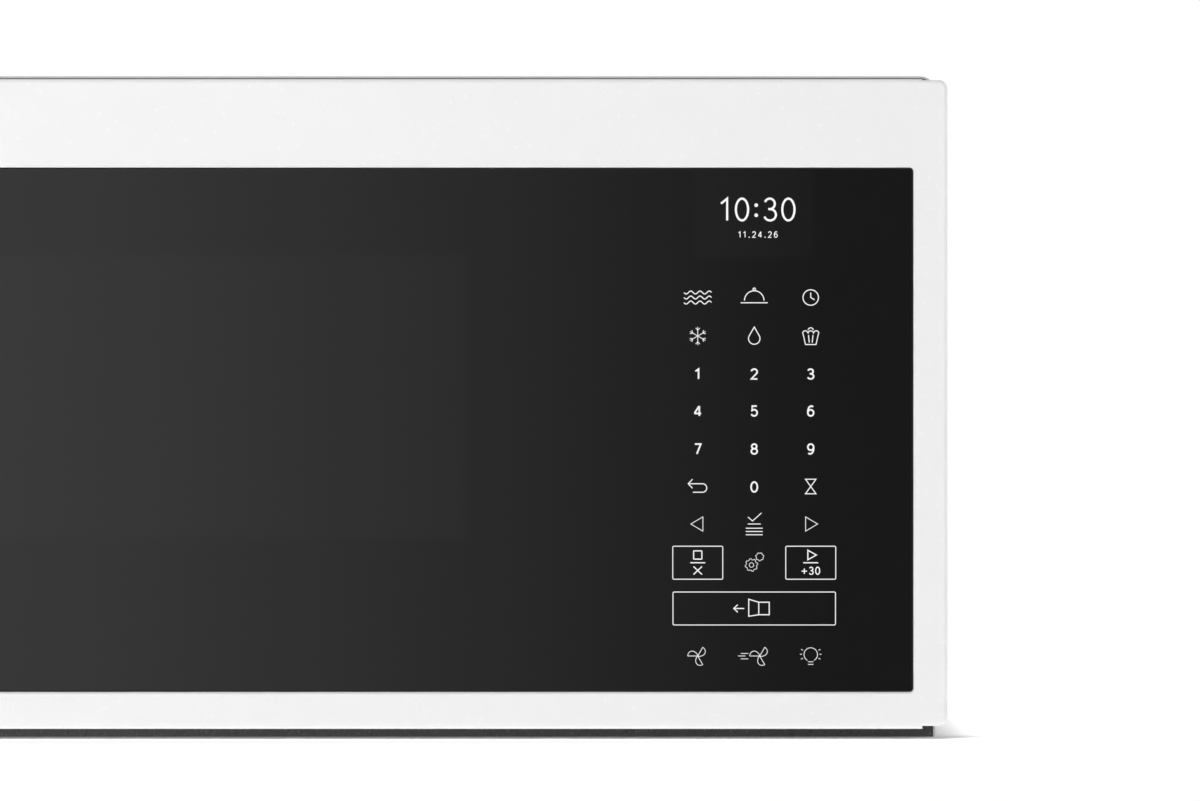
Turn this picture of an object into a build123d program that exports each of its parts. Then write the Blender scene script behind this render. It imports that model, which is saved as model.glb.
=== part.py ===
from build123d import *
import math
import os

os.makedirs("parts", exist_ok=True)

# All sizes in mm. X runs to the right, Y from the front to the wall, Z up.
# The origin is the middle of the rear face, where the appliance meets the wall.

# ---- case ----
case_width = 752.0
case_height = 266.0
case_depth = 425.0
sheet = 0.8                 # case steel
case_bend = 6.0             # outside radius of the two top corners
lip_width = 16.0            # inward lips along the bottom of the sides
dimple_rise = 2.4           # screw dimples of the base plate
dimple_radius = 7.0
pan_flange = 12.0           # upturned ends of the base plate
touching = 0.1              # clearance of flat pieces that slide into each other
free_gap = 0.3              # clearance of pieces that move past each other
running = 0.05              # radial clearance of shafts and pins

case_side = case_width / 2
case_top = case_height / 2
case_bottom = -case_height / 2
case_front = -case_depth
inside_top = case_top - sheet
inside_side = case_side - sheet
inside_back = -sheet
inside_bottom = case_bottom + sheet
plate_back = case_front + sheet         # rear face of the front plate

# ---- door ----
door_depth = 39.0
door_gap = 3.0              # case front to door back
top_reveal = 2.0            # how far the case stands above the door
bottom_reveal = 4.0         # and below it
end_overhang = 4.0          # how far the door stands past each side of the case
door_skin = 1.3
door_corner = 3.6
door_edge = 1.6             # rounding of the front edges
relief_inset = 10.0         # where the folded lips end, from the door's ends
relief_drop = 1.2
relief_rise = 0.4
glass_margin_side = 13.6
glass_margin_top = 35.4
glass_margin_bottom = 14.8
glass_corner = 1.5
glass_thickness = 3.0
glass_recess = 0.6
frame_lip = 5.6             # depth of the return round the glass
carrier_plate = 2.0
carrier_wall = 2.0

door_back = case_front - door_gap
door_front = door_back - door_depth
door_top = case_top - top_reveal
door_bottom = case_bottom + bottom_reveal
door_end = case_side + end_overhang
glass_side = door_end - glass_margin_side
glass_top = door_top - glass_margin_top
glass_bottom = door_bottom + glass_margin_bottom
glass_front = door_front + glass_recess
glass_back = glass_front + glass_thickness
display_rear = glass_back + 6.0
lip_back = door_front + frame_lip
skin_side = door_end - door_skin
skin_top = door_top - door_skin
skin_bottom = door_bottom + door_skin

# ---- hinge, at the door's left end ----
hinge_inset = 9.0
hinge_set_back = 14.0
pin_radius = 3.0
pin_length = 14.3
bush_wall = 2.0
bush_length = 14.0
boss_radius = 7.6
upper_tongue = 1.5
lower_tongue = 2.0
leaf_thickness = 1.5
leaf_left = 18.0 - case_side
leaf_right = leaf_left + 38.0
leaf_height = 40.0

hinge_x = -door_end + hinge_inset
hinge_y = door_back - hinge_set_back
bush_radius = pin_radius + running + bush_wall

# ---- cavity and turntable ----
cavity_inset = 36.0         # from the case's left side to the cavity
bay_width = 176.0           # from the cavity to the case's right side
space_below = 63.0
space_above = 53.0
space_behind = 39.2
cavity_corner = 12.0
cavity_flange = 10.0
track_radius = 118.0
track_depth = 3.0
shaft_radius = 3.5
shaft_hole = 6.0
roller_radius = 7.0
roller_width = 8.0
roller_path = 100.0         # radius of the rollers' circle
axle_radius = 2.2
ring_width = 9.0
ring_thickness = 5.0
tray_radius = 170.0
tray_thickness = 5.0
tray_rim = 9.0
coupler_radius = 9.0
lobe_radius = 17.0
lobe_width = 8.0

cavity_left = cavity_inset - case_side
cavity_right = case_side - bay_width
cavity_floor = case_bottom + space_below
cavity_roof = case_top - space_above
cavity_mouth = plate_back
cavity_rear = -space_behind
table_x = (cavity_left + cavity_right) / 2
table_y = (cavity_mouth + cavity_rear) / 2
track_floor = cavity_floor - track_depth
axle_height = track_floor + roller_radius + free_gap
tray_bottom = axle_height + roller_radius + free_gap
lamp_y = -115.0             # middle of the cavity lamp

# ---- window of the door, in front of the cavity ----
window_left = cavity_left + 9.0
window_right = cavity_right - 8.6
window_bottom = cavity_floor + 13.4
window_top = cavity_roof - 15.6
choke_width = 24.0
choke_depth = 17.0
choke_sheet = 0.8
cover_thickness = 1.2

choke_front = door_back - 2.0 - choke_depth
choke_back = choke_front + choke_depth
dam_left = cavity_left - 8.0
dam_right = cavity_right + 8.0
dam_bottom = cavity_floor - 8.0
dam_top = cavity_roof + 8.0

# ---- controls in the door, right of the window ----
bay_left = case_side - 112.5
bay_right = bay_left + 76.0
board_left = case_side - 120.0
board_right = board_left + 82.0
display_left = case_side - 100.0
display_right = display_left + 53.2
display_height = 38.4
board_front = door_back - 24.0
board_thickness = 1.6

# ---- latch ----
hook_left = case_side - 34.0
hook_width = 6.0
hook_tip = case_front + 23.0
nose_length = 10.0
nose_drop = 6.0
upper_hook = (case_top - 75.0, case_top - 65.0)             # low and high edges of its arm
lower_hook = (case_bottom + 67.0, case_bottom + 83.0)
latch_top = case_top - 55.0
latch_bottom = case_bottom + 55.0
latch_front = door_back - 18.0
latch_back = door_back - 6.0
guide_wall = 1.8
spring_length = 15.0
slot_left = hook_left - 3.0
slot_right = hook_left + 16.0
latch_lift = 5.0
lift_pin_y = hook_tip - 6.5
lift_pin_z = upper_hook[0] + 6.0
lift_pin_radius = 2.0

# ---- release lever, solenoid and switches ----
bracket_left = case_side - 58.0
bracket_right = case_side - 12.0
bracket_wall = 2.0
bracket_bottom = case_bottom + 43.0
bracket_top = case_top - 55.0
bracket_back = case_front + 69.0
lever_left = hook_left + 8.0
lever_thickness = 3.0
lever_y = case_front + 37.0
lever_z = upper_hook[0] - 6.0
lever_arm = 20.0
lever_bar = 4.0
plunger_radius = 4.0
switch_left = hook_left - 5.0
switch_width = 16.0
switch_height = 10.0
switch_front = hook_tip + 6.0
switch_depth = 20.0
switch_heights = (sum(upper_hook) / 2, lower_hook[1] - 2.0, lower_hook[0] + 2.0)
button_radius = 1.5
button_travel = 3.0
button_inside = 5.0

# ---- magnetron, fan and blower, right of the cavity ----
guide_depth = 36.0
guide_length = 96.0
guide_height = 82.0
guide_sheet = 1.0
feed_z = (cavity_floor + cavity_roof) / 2
fan_x = case_side - 86.0
fan_z = feed_z
fan_radius = 55.0
blower_x = case_side - 86.0
wheel_radius = 46.0
wheel_inner = 36.0
vane_count = 22
scroll_gap = 4.0            # from the wheel to the cut-off
scroll_growth = 18.0
scroll_wall = 1.2
scroll_width = 48.0
mouth_lip = 2.0             # how far the bell mouths stand out of the scrolls
mouth_wall = 2.5
scroll_headroom = 2.2       # from the outlet to the case top
blower_length = 154.0
blower_back = -12.0
blower_shaft = 4.0

blower_front = blower_back - blower_length
shroud_y = blower_front - 39.0
feed_y = shroud_y - 65.0
scroll_start = wheel_radius + scroll_gap
outlet_top = inside_top - scroll_headroom
blower_z = outlet_top - scroll_growth - scroll_start
outlet_bottom = blower_z + scroll_start * math.sin(math.radians(135))

# ---- duct, vent and exhaust above the cavity ----
duct_left = 71.0 - case_side
duct_right = cavity_right + 22.0
duct_front_right = case_side - 71.0
duct_wall = 1.2
vent_half = case_side - 86.0
vent_front = case_front + 13.0
vent_back = vent_front + 62.0
exhaust_width = 254.0
exhaust_depth = 83.0
exhaust_back = -12.0
filter_thickness = 12.0

# ---- underside ----
grease_width = 130.0
grease_thickness = 6.0
grease_left = 40.0          # inner edge of each filter from the middle
grease_shroud_gap = 23.0    # from the filters' front edge to the fan shroud
grease_back = shroud_y + grease_shroud_gap + grease_width
collar_height = 9.0
pivot_radius = 2.0
pivot_inset = 4.0
lens_length = 120.0
lens_width = 40.0
lens_y = case_front + 95.0
grease_length = case_side - 36.0 - grease_left

# ---- fixings ----
bolt_x = case_side - 41.0
bolt_y = -250.0
bolt_radius = 3.6
cord_x = case_side - 36.0
cord_y = -195.0
cord_hole = 13.0
screw_radius = 1.9
screw_hole = 2.1
head_radius = 4.0
head_height = 1.4
screw_length = 8.0
hook_slot = (60.0, 8.0)     # slots that hang on the wall plate
hook_slot_x = case_side - 126.0
hook_slot_z = case_bottom + 21.0


def span(x, y, z):
    """Box between low and high limits along X, Y and Z."""
    middle = [(low + high) / 2 for low, high in (x, y, z)]
    size = [high - low for low, high in (x, y, z)]
    return Pos(*middle) * Box(*size)


def slab(normal, x, y, z, radius):
    """Plate between limits, with its four corners rounded about the named normal axis."""
    box = span(x, y, z)
    axis = {"X": Axis.X, "Y": Axis.Y, "Z": Axis.Z}[normal]
    return fillet(box.edges().filter_by(axis), radius)


def rod(axis, centre, radius, length):
    """Cylinder along one axis, from its start point in the positive direction."""
    turn = {"X": Rot(0, 90, 0), "Y": Rot(-90, 0, 0), "Z": Rot(0, 0, 0)}[axis]
    straight = Cylinder(radius, length, align=(Align.CENTER, Align.CENTER, Align.MIN))
    return Pos(*centre) * turn * straight


def screw(axis, head, direction, length):
    """Pan head screw: head is the middle of the seat, the shank runs along the direction."""
    spin = {"X": Rot(0, 90, 0), "Y": Rot(-90, 0, 0), "Z": Rot(0, 0, 0)}[axis]
    dome = Cylinder(head_radius, head_height, align=(Align.CENTER, Align.CENTER, Align.MAX))
    dome = fillet(dome.edges().group_by(Axis.Z)[0], head_height / 2)
    shank = Cylinder(screw_radius, length, align=(Align.CENTER, Align.CENTER, Align.MIN))
    flip = Rot(180, 0, 0) if direction < 0 else Rot(0, 0, 0)
    return Pos(*head) * spin * flip * (dome + shank)


def mirrored(points):
    """Each (x, y) point and its twin on the other side of the middle."""
    return [(side * x, y) for x, y in points for side in (-1, 1)]


base_screw_points = mirrored([(inside_side - lip_width / 2, y)
                              for y in (case_front + 25, case_front + 200, -30.0)])
leaf_screws = [(leaf_left + 8, 12.0), (leaf_right - 8, 12.0),
               ((leaf_left + leaf_right) / 2, 30.0)]             # x, and distance from the tongue
cover_screw_points = [(x, z) for z in (door_top - 13, door_bottom + 11)
                      for x in (board_left - 6, case_side - 10)]


# ------------------------------------------------------------------ case
def outer_case():
    """Top and two sides in one folded sheet, with inward lips along the bottom."""
    outline = Rectangle(case_width, case_height)
    outline = fillet(outline.vertices().group_by(Axis.Y)[-1], case_bend)
    hollow = Pos(0, -sheet) * Rectangle(case_width - 2 * sheet, case_height)
    hollow = fillet(hollow.vertices().group_by(Axis.Y)[-1], case_bend - sheet)
    lip_z = case_bottom + dimple_rise + sheet / 2
    lip_x = inside_side - lip_width / 2
    lips = [Pos(side * lip_x, lip_z) * Rectangle(lip_width, sheet) for side in (-1, 1)]
    folded = extrude(Plane.XZ * (outline - hollow + lips), case_depth)

    exhaust = span((-exhaust_width / 2, exhaust_width / 2), (exhaust_back - exhaust_depth, exhaust_back),
                   (inside_top - 1, case_top + 1))
    vent = slab("Z", (-vent_half, vent_half), (vent_front, vent_back), (inside_top - 1, case_top + 1), 3)
    cord = rod("Z", (cord_x, cord_y, inside_top - 1), cord_hole, 3)
    bolts = [rod("Z", (side * bolt_x, bolt_y, inside_top - 1), bolt_radius, 3) for side in (-1, 1)]
    lip_holes = [rod("Z", (x, y, case_bottom), screw_hole, 5) for x, y in base_screw_points]
    lip_ends = [
        span((-case_width, case_width), limits, (inside_bottom, case_bottom + pan_flange))
        - span((-case_width, -inside_side), limits, (case_bottom, case_top))
        - span((inside_side, case_width), limits, (case_bottom, case_top))
        for limits in ((case_front, plate_back + sheet), (inside_back - sheet, 0))
    ]
    return folded - exhaust - vent - cord - bolts - lip_holes - lip_ends


def base_plate():
    """Underside pan: openings with upturned collars, dimpled screw seats, upturned ends."""
    half = inside_side - touching
    front, back = plate_back, inside_back
    pan = span((-half, half), (front, back), (case_bottom, inside_bottom))
    for y in ((front, front + sheet), (back - sheet, back)):
        pan += span((-half, half), y, (case_bottom, case_bottom + pan_flange))
    for side in (-1, 1):
        x = sorted((side * (grease_left - free_gap), side * (grease_left + grease_length + free_gap)))
        y = (grease_back - grease_width - free_gap, grease_back + free_gap)
        collar = slab("Z", (x[0] - sheet, x[1] + sheet), (y[0] - sheet, y[1] + sheet),
                      (case_bottom, case_bottom + collar_height), 4 + sheet)
        pan += collar
        pan -= slab("Z", x, y, (case_bottom - 1, case_bottom + collar_height + 1), 4)
        pivot_y = grease_back - pivot_inset
        pivot = (x[0] - 3, pivot_y, case_bottom + grease_thickness / 2)
        pan -= rod("X", pivot, pivot_radius + running, x[1] - x[0] + 6)
    pan -= slab("Z", (-lens_length / 2, lens_length / 2), (lens_y - lens_width / 2, lens_y + lens_width / 2),
                (case_bottom - 1, inside_bottom + 1), 6)
    for x, y in base_screw_points:
        pan += rod("Z", (x, y, case_bottom), dimple_radius + sheet, dimple_rise)
        pan -= rod("Z", (x, y, case_bottom), dimple_radius, dimple_rise - sheet)
        pan -= rod("Z", (x, y, case_bottom), screw_hole, dimple_rise)
    for row in range(6):
        for side in (-1, 1):
            middle = (side * grease_length / 2, case_front + 45 + 9 * row)
            pan -= Pos(*middle, case_bottom + sheet / 2) * extrude(SlotOverall(90, 3.5), sheet, both=True)
    return pan


def back_panel():
    """Rear sheet with two stiffening beads and the slots that hang on the wall plate."""
    half = inside_side - touching
    bead_depth, bead_length = 2.4, case_width - 132
    panel = span((-half, half), (inside_back, 0), (case_bottom, inside_top - touching))
    panel = fillet(panel.edges().filter_by(Axis.Y).group_by(Axis.Z)[-1], case_bend - sheet)
    for z in (case_bottom + 103, case_top - 93):
        place = Plane(origin=(0, 0, z), x_dir=(1, 0, 0), z_dir=(0, -1, 0))
        panel += extrude(place * SlotOverall(bead_length, 20), bead_depth + sheet)
        panel -= extrude(place * SlotOverall(bead_length - 2 * sheet, 20 - 2 * sheet), bead_depth)
    for side in (-1, 1):
        x = (side * hook_slot_x - hook_slot[0] / 2, side * hook_slot_x + hook_slot[0] / 2)
        z = (hook_slot_z - hook_slot[1] / 2, hook_slot_z + hook_slot[1] / 2)
        panel -= slab("Y", x, (-5, 5), z, 2)
    return panel


def front_frame():
    """Plate round the cavity mouth, slotted for the door's two hooks."""
    half = inside_side - touching
    plate = span((-half, half), (case_front, plate_back), (case_bottom, inside_top - touching))
    plate = fillet(plate.edges().filter_by(Axis.Y).group_by(Axis.Z)[-1], case_bend - sheet)
    plate -= slab("Y", (cavity_left, cavity_right), (case_front - 1, plate_back + 1),
                  (cavity_floor, cavity_roof), cavity_corner)
    for low, high in (upper_hook, lower_hook):
        plate -= slab("Y", (slot_left, slot_right), (case_front - 1, plate_back + 1),
                      (low - nose_drop - 4, high + latch_lift + 3), 3)
    for x, offset in leaf_screws:
        for z in (case_top - offset, door_bottom + offset - 2):
            plate -= rod("Y", (x, case_front - 1, z), screw_hole, 3)
    return plate


# ------------------------------------------------------------------ cavity
def cavity():
    """Folded box with a mouth flange, a round roller track and a slot to the waveguide."""
    outer = slab("Y", (cavity_left - sheet, cavity_right + sheet), (cavity_mouth, cavity_rear + sheet),
                 (cavity_floor - sheet, cavity_roof + sheet), cavity_corner + sheet)
    flange = slab("Y", (cavity_left - cavity_flange, cavity_right + cavity_flange),
                  (cavity_mouth, cavity_mouth + sheet),
                  (cavity_floor - cavity_flange, cavity_roof + cavity_flange), cavity_corner)
    track = rod("Z", (table_x, table_y, track_floor - sheet), track_radius + sheet, track_depth)
    inner = slab("Y", (cavity_left, cavity_right), (cavity_mouth - 1, cavity_rear),
                 (cavity_floor, cavity_roof), cavity_corner)
    inner = fillet(inner.faces().sort_by(Axis.Y)[-1].edges(), 6)
    box = outer + flange + track - inner
    box -= rod("Z", (table_x, table_y, track_floor), track_radius, track_depth + 1)
    box -= rod("Z", (table_x, table_y, track_floor - 2), shaft_hole, 4)
    box -= slab("X", (cavity_right - 1, cavity_right + 2), (feed_y - 36, feed_y + 36),
                (feed_z - 26, feed_z + 26), 4)
    for row in range(3):
        for column in range(5):
            hole = (cavity_right - 1, lamp_y - 12 + 6 * column, cavity_roof - 22 + 6 * row)
            box -= rod("X", hole, 1.6, 3)
    return box


def waveguide_cover():
    """Mica sheet over the cavity's waveguide slot, with two rivets."""
    plate = slab("X", (cavity_right - 0.6, cavity_right), (feed_y - 44, feed_y + 44),
                 (feed_z - 34, feed_z + 34), 5)
    for y in (feed_y - 40, feed_y + 40):
        plate += rod("X", (cavity_right - 1.8, y, feed_z), 3, 1.4)
    return plate


def turntable_motor():
    """Flat synchronous motor under the cavity floor, with two fixing ears."""
    top = track_floor - sheet
    can = rod("Z", (table_x, table_y, top - 18), 25, 18)
    can = fillet(can.edges().group_by(Axis.Z)[0], 2)
    ears = extrude(Pos(table_x, table_y, top - 1.2) * SlotOverall(72, 12), 1.2)
    for side in (-1, 1):
        ears -= rod("Z", (table_x + side * 30, table_y, top - 3), 2, 4)
    connector = span((table_x - 8, table_x + 8), (table_y + 22, table_y + 34), (top - 16, top - 8))
    return can + ears + connector - rod("Z", (table_x, table_y, top - 15), shaft_radius + running, 16)


def turntable_coupler():
    """Three-lobed drive hub on the motor's shaft."""
    top = tray_bottom - free_gap
    hub = rod("Z", (table_x, table_y, track_floor + 0.5), coupler_radius, top - track_floor - 0.5)
    for turn in (0, 120, 240):
        lobe = span((0, lobe_radius), (-lobe_width / 2, lobe_width / 2), (track_floor + 4, top))
        lobe = fillet(lobe.edges().filter_by(Axis.Z).group_by(Axis.X)[-1], lobe_width / 2 - 0.2)
        hub += Pos(table_x, table_y, 0) * Rot(0, 0, turn) * lobe
    shaft = rod("Z", (table_x, table_y, track_floor - sheet - 14.7), shaft_radius, 16)
    return hub + shaft


def glass_tray():
    """Dished round tray with three lugs under it that sit between the coupler's lobes."""
    low, high = tray_bottom, tray_bottom + tray_thickness
    with BuildPart() as dish:
        with BuildSketch(Plane.XZ):
            with BuildLine():
                Polyline((0, low), (tray_radius - 14, low), (tray_radius, low + tray_rim),
                         (tray_radius - 1, low + tray_rim + 3), (tray_radius - 5, low + tray_rim + 3),
                         (tray_radius - 19, high), (0, high), close=True)
            make_face()
        revolve(axis=Axis.Z)
    tray = Pos(table_x, table_y, 0) * fillet(dish.part.edges().sort_by(Axis.Z)[-2:], 1)
    for turn in (60, 180, 300):
        lug = Cylinder(lobe_radius, 6, arc_size=50, align=(Align.CENTER, Align.CENTER, Align.MAX))
        lug -= Cylinder(coupler_radius + 2, 6, align=(Align.CENTER, Align.CENTER, Align.MAX))
        tray += Pos(table_x, table_y, low) * Rot(0, 0, turn - 25) * lug
    return tray


def ring_place(turn):
    """Frame of one roller: local X runs outwards from the turntable's axis."""
    return Pos(table_x, table_y, axle_height) * Rot(0, 0, turn)


def roller_ring():
    """Ring with three stub axles for its rollers."""
    inner = roller_path - roller_width / 2 - 2 - ring_width
    ring = Cylinder(inner + ring_width, ring_thickness) - Cylinder(inner, ring_thickness)
    ring = Pos(table_x, table_y, axle_height) * fillet(ring.edges(), 1)
    for turn in (30, 150, 270):
        axle = rod("X", (inner + ring_width / 2, 0, 0), axle_radius, roller_path + roller_width / 2 + 1.5
                   - inner - ring_width / 2)
        axle += rod("X", (roller_path + roller_width / 2 + free_gap, 0, 0), axle_radius + 1, 1.4)
        ring += ring_place(turn) * axle
    return ring


def ring_roller(turn):
    """Small wheel with a crowned tread and its bore."""
    wheel = rod("X", (roller_path - roller_width / 2, 0, 0), roller_radius, roller_width)
    wheel = fillet(wheel.edges(), 1.2)
    wheel -= rod("X", (roller_path - roller_width, 0, 0), axle_radius + running, 2 * roller_width)
    return ring_place(turn) * wheel


# ------------------------------------------------------------------ component bay
def waveguide():
    """Rectangular duct on the cavity's side wall, closed but for its slot and the antenna's hole."""
    left = cavity_right + sheet
    y = (feed_y - guide_length / 2, feed_y + guide_length / 2)
    z = (feed_z - guide_height / 2, feed_z + guide_height / 2)
    duct = span((left, left + guide_depth), y, z)
    duct = fillet(duct.edges().filter_by(Axis.X), 5)
    duct = offset(duct, -guide_sheet, openings=duct.faces().sort_by(Axis.X)[0])
    return duct - rod("X", (left + guide_depth - 5, feed_y, feed_z), 12, 10)


def magnetron():
    """Yoke with cooling fins between its plates, antenna, magnets and filter box."""
    seat = cavity_right + sheet + guide_depth
    plate = slab("X", (seat, seat + 1.6), (feed_y - 47, feed_y + 47), (feed_z - 40, feed_z + 40), 4)
    yoke_far = seat + 62
    yoke = span((seat + 1.6, yoke_far), (feed_y - 40, feed_y + 40), (feed_z - 38, feed_z + 38))
    yoke -= span((seat + 3.2, yoke_far - 1.6), (feed_y - 41, feed_y + 41), (feed_z - 36.4, feed_z + 36.4))
    anode = rod("X", (seat + 3.2, feed_y, feed_z), 19, yoke_far - seat - 4.8)
    magnets = [rod("X", (x, feed_y, feed_z), 27, 9) for x in (seat + 3.2, yoke_far - 10.6)]
    fins = [
        span((x, x + 0.8), (feed_y - 38, feed_y + 38), (feed_z - 36.4, feed_z + 36.4))
        for x in (seat + 16 + 5.5 * step for step in range(6))
    ]
    antenna = rod("X", (seat - 24, feed_y, feed_z), 8, 25)
    antenna = fillet(antenna.edges().group_by(Axis.X)[0], 3)
    box = slab("X", (yoke_far, yoke_far + 38), (feed_y - 30, feed_y + 30), (feed_z - 28, feed_z + 28), 3)
    plug = span((yoke_far + 12, yoke_far + 28), (feed_y - 42, feed_y - 30), (feed_z - 8, feed_z + 8))
    return plate + yoke + anode + magnets + fins + antenna + box + plug


def transformer():
    """E-I core standing on a foot plate, with its two coils round the middle limb."""
    x, y = (cavity_right + 40, cavity_right + 106), (case_front + 13, case_front + 93)
    low = inside_bottom
    foot = slab("Z", (x[0], x[1]), (y[0] - 6, y[1] + 6), (low, low + 2), 3)
    core = span(x, y, (low + 2, low + 72))
    window_width, middle = 14.0, (y[0] + y[1]) / 2
    for side in (-1, 1):
        window = (middle + side * 19 - window_width / 2, middle + side * 19 + window_width / 2)
        core -= span((x[0] - 1, x[1] + 1), window, (low + 14, low + 60))
    for height in ((low + 15, low + 34), (low + 37, low + 59)):
        coil = slab("Z", (x[0] - 12, x[1] + 12), (middle - 25.5, middle + 25.5), height, 8)
        limb = span((x[0] - 1, x[1] + 1), (middle - 12.2, middle + 12.2), height)
        core += coil - span(x, (middle - 26, middle + 26), height)
        core += span(x, (middle - 25.5, middle + 25.5), height) - limb
    return foot + core


def hv_capacitor():
    """Oval can lying on the base, with its two terminals and its clamp band."""
    middle = (case_side - 38, case_front + 107)
    low = inside_bottom
    can = extrude(Pos(*middle, low) * SlotOverall(52, 34, rotation=90), 78)
    can = fillet(can.edges().group_by(Axis.Z)[-1], 2)
    band = extrude(Pos(*middle, low + 20) * SlotOverall(54, 36, rotation=90), 12)
    foot = span((middle[0] - 17.9, middle[0] - 16), (middle[1] - 6, middle[1] + 6), (low, low + 21))
    foot += span((middle[0] - 30, middle[0] - 16), (middle[1] - 6, middle[1] + 6), (low, low + 1.2))
    posts = [span((middle[0] - 0.5, middle[0] + 0.5), (y - 3, y + 3), (low + 77, low + 87))
             for y in (middle[1] - 11, middle[1] + 11)]
    return can + band + foot + posts


def line_filter_board():
    """Mains input board on four posts from the right side wall."""
    x, y = inside_side - 10, bracket_back + 26
    board = slab("X", (x - 1.6, x), (y, y + 90), (-40.0, 40.0), 2)
    for post_y in (y + 6, y + 84):
        for z in (-34.0, 34.0):
            board += rod("X", (x, post_y, z), 3, 10)
    toroid = rod("X", (x - 15.6, y + 30, 10.0), 16, 14) - rod("X", (x - 17, y + 30, 10.0), 8, 14)
    board += fillet(toroid.edges(), 2)
    board += slab("X", (x - 17, x - 1.6), (y + 54, y + 80), (-4.0, 24.0), 1.5)
    board += slab("X", (x - 15, x - 1.6), (y + 8, y + 30), (-34.0, -14.0), 1.5)
    board += rod("X", (x - 19, y + 64, -22.0), 8, 17.4)
    return board


def fan_shroud():
    """Upright fan plate on the base, its ring drawn forward and a three-armed motor seat behind."""
    low = inside_bottom
    top = cavity_roof + sheet - free_gap
    plate = slab("Y", (fan_x - 75, fan_x + 68), (shroud_y, shroud_y + 1.2), (low, top), 8)
    plate += span((fan_x - 66, fan_x + 59), (shroud_y, shroud_y + 14), (low, low + 1.2))
    ring = rod("Y", (fan_x, shroud_y - 16, fan_z), fan_radius + 3.2, 17.2)
    plate += fillet(ring.edges().group_by(Axis.Y)[0], 1.5)
    plate -= rod("Y", (fan_x, shroud_y - 20, fan_z), fan_radius + 2, 30)
    seat_y = shroud_y + 1.2
    pad = rod("Y", (fan_x, seat_y, fan_z), 24, 2)
    arm = span((0, fan_radius + 8), (0, 2), (-5, 5))
    for turn in (90, 210, 330):
        pad += Pos(fan_x, seat_y, fan_z) * Rot(0, turn, 0) * arm
    return plate + pad - rod("Y", (fan_x, seat_y - 1, fan_z), 6, 5)


def cooling_fan_motor():
    """Shaded-pole motor: laminated stack, coil and two bearing bridges."""
    front = shroud_y + 3.2
    stack = span((fan_x - 30, fan_x + 30), (front + 5, front + 21), (fan_z - 22, fan_z + 22))
    stack = fillet(stack.edges().filter_by(Axis.Y), 4)
    coil = span((fan_x + 14, fan_x + 36), (front + 1, front + 25), (fan_z - 14, fan_z + 14))
    coil = fillet(coil.edges().filter_by(Axis.Z), 5)
    bridges = []
    for y in (front, front + 21):
        bridges.append(span((fan_x - 26, fan_x + 12), (y, y + 5), (fan_z - 7, fan_z + 7)))
    bearing = rod("Y", (fan_x, front + 21, fan_z), 8, 7)
    motor = stack + coil + bridges + bearing
    return motor - rod("Y", (fan_x, front - 1, fan_z), 2.5 + running, 27)


def cooling_fan():
    """Five pitched blades on a domed hub, with its shaft."""
    low = shroud_y - 14
    hub = rod("Y", (fan_x, low, fan_z), 13, 12)
    fan = fillet(hub.edges().group_by(Axis.Y)[0], 4)
    stations = ((10.0, 16.0, 48.0), (fan_radius, 30.0, 26.0))      # radius, chord, pitch in degrees
    sections = []
    for radius, chord, pitch in stations:
        place = Plane(origin=(radius, 0, 0), x_dir=(0, 1, 0), z_dir=(1, 0, 0))
        sections.append(place * Rot(0, 0, 90 - pitch) * RectangleRounded(chord, 1.4, 0.6))
    blade = loft(sections)
    for step in range(5):
        fan += Pos(fan_x, low + 6, fan_z) * Rot(0, 72 * step, 0) * blade
    return fan + rod("Y", (fan_x, low + 6, fan_z), 2.5, 34)


def scroll_outline():
    """Spiral of seven arcs from the cut-off round to the outlet, grown evenly with the angle."""
    steps = 14
    points = []
    for step in range(steps + 1):
        turn = math.radians(135 + 315 * step / steps)
        radius = scroll_start + scroll_growth * step / steps
        points.append((blower_x + radius * math.cos(turn), blower_z + radius * math.sin(turn)))
    with BuildSketch() as sketch:
        with BuildLine():
            for step in range(0, steps, 2):
                ThreePointArc(points[step], points[step + 1], points[step + 2])
            Polyline(points[-1], (duct_right + 1, outlet_top), (duct_right + 1, outlet_bottom), points[0])
        make_face()
    return sketch.sketch


def blower_housing():
    """Two scrolls with bell-mouthed inlets towards the motor, joined by the outlet flange."""
    housing = slab("X", (duct_right, duct_right + 1.2), (blower_front, blower_front + blower_length),
                   (outlet_bottom - 8, inside_top), 3)
    outer = scroll_outline()
    window = (outlet_bottom + scroll_wall, outlet_top - scroll_wall)
    outlet = Pos(duct_right, sum(window) / 2) * Rectangle(20, window[1] - window[0])
    inner = offset(outer, -scroll_wall) + outlet
    for start, inlet in ((blower_front, scroll_width), (blower_front + blower_length - scroll_width, 0)):
        place = Plane(origin=(0, start + scroll_width, 0), x_dir=(1, 0, 0), z_dir=(0, -1, 0))
        scroll = extrude(place * outer, scroll_width)
        place = Plane(origin=(0, start + scroll_width - scroll_wall, 0), x_dir=(1, 0, 0), z_dir=(0, -1, 0))
        scroll -= extrude(place * inner, scroll_width - 2 * scroll_wall)
        mouth_place = (blower_x, start + inlet - mouth_lip, blower_z)
        mouth = rod("Y", mouth_place, wheel_inner + mouth_wall, 2 * mouth_lip)
        scroll += fillet(mouth.edges(), mouth_lip - 0.2)
        scroll -= rod("Y", (blower_x, start + inlet - 4, blower_z), wheel_inner, 8)
        housing += scroll
        housing -= span((duct_right - 1, duct_right + 3),
                        (start + scroll_wall, start + scroll_width - scroll_wall), window)
    return housing


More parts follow.
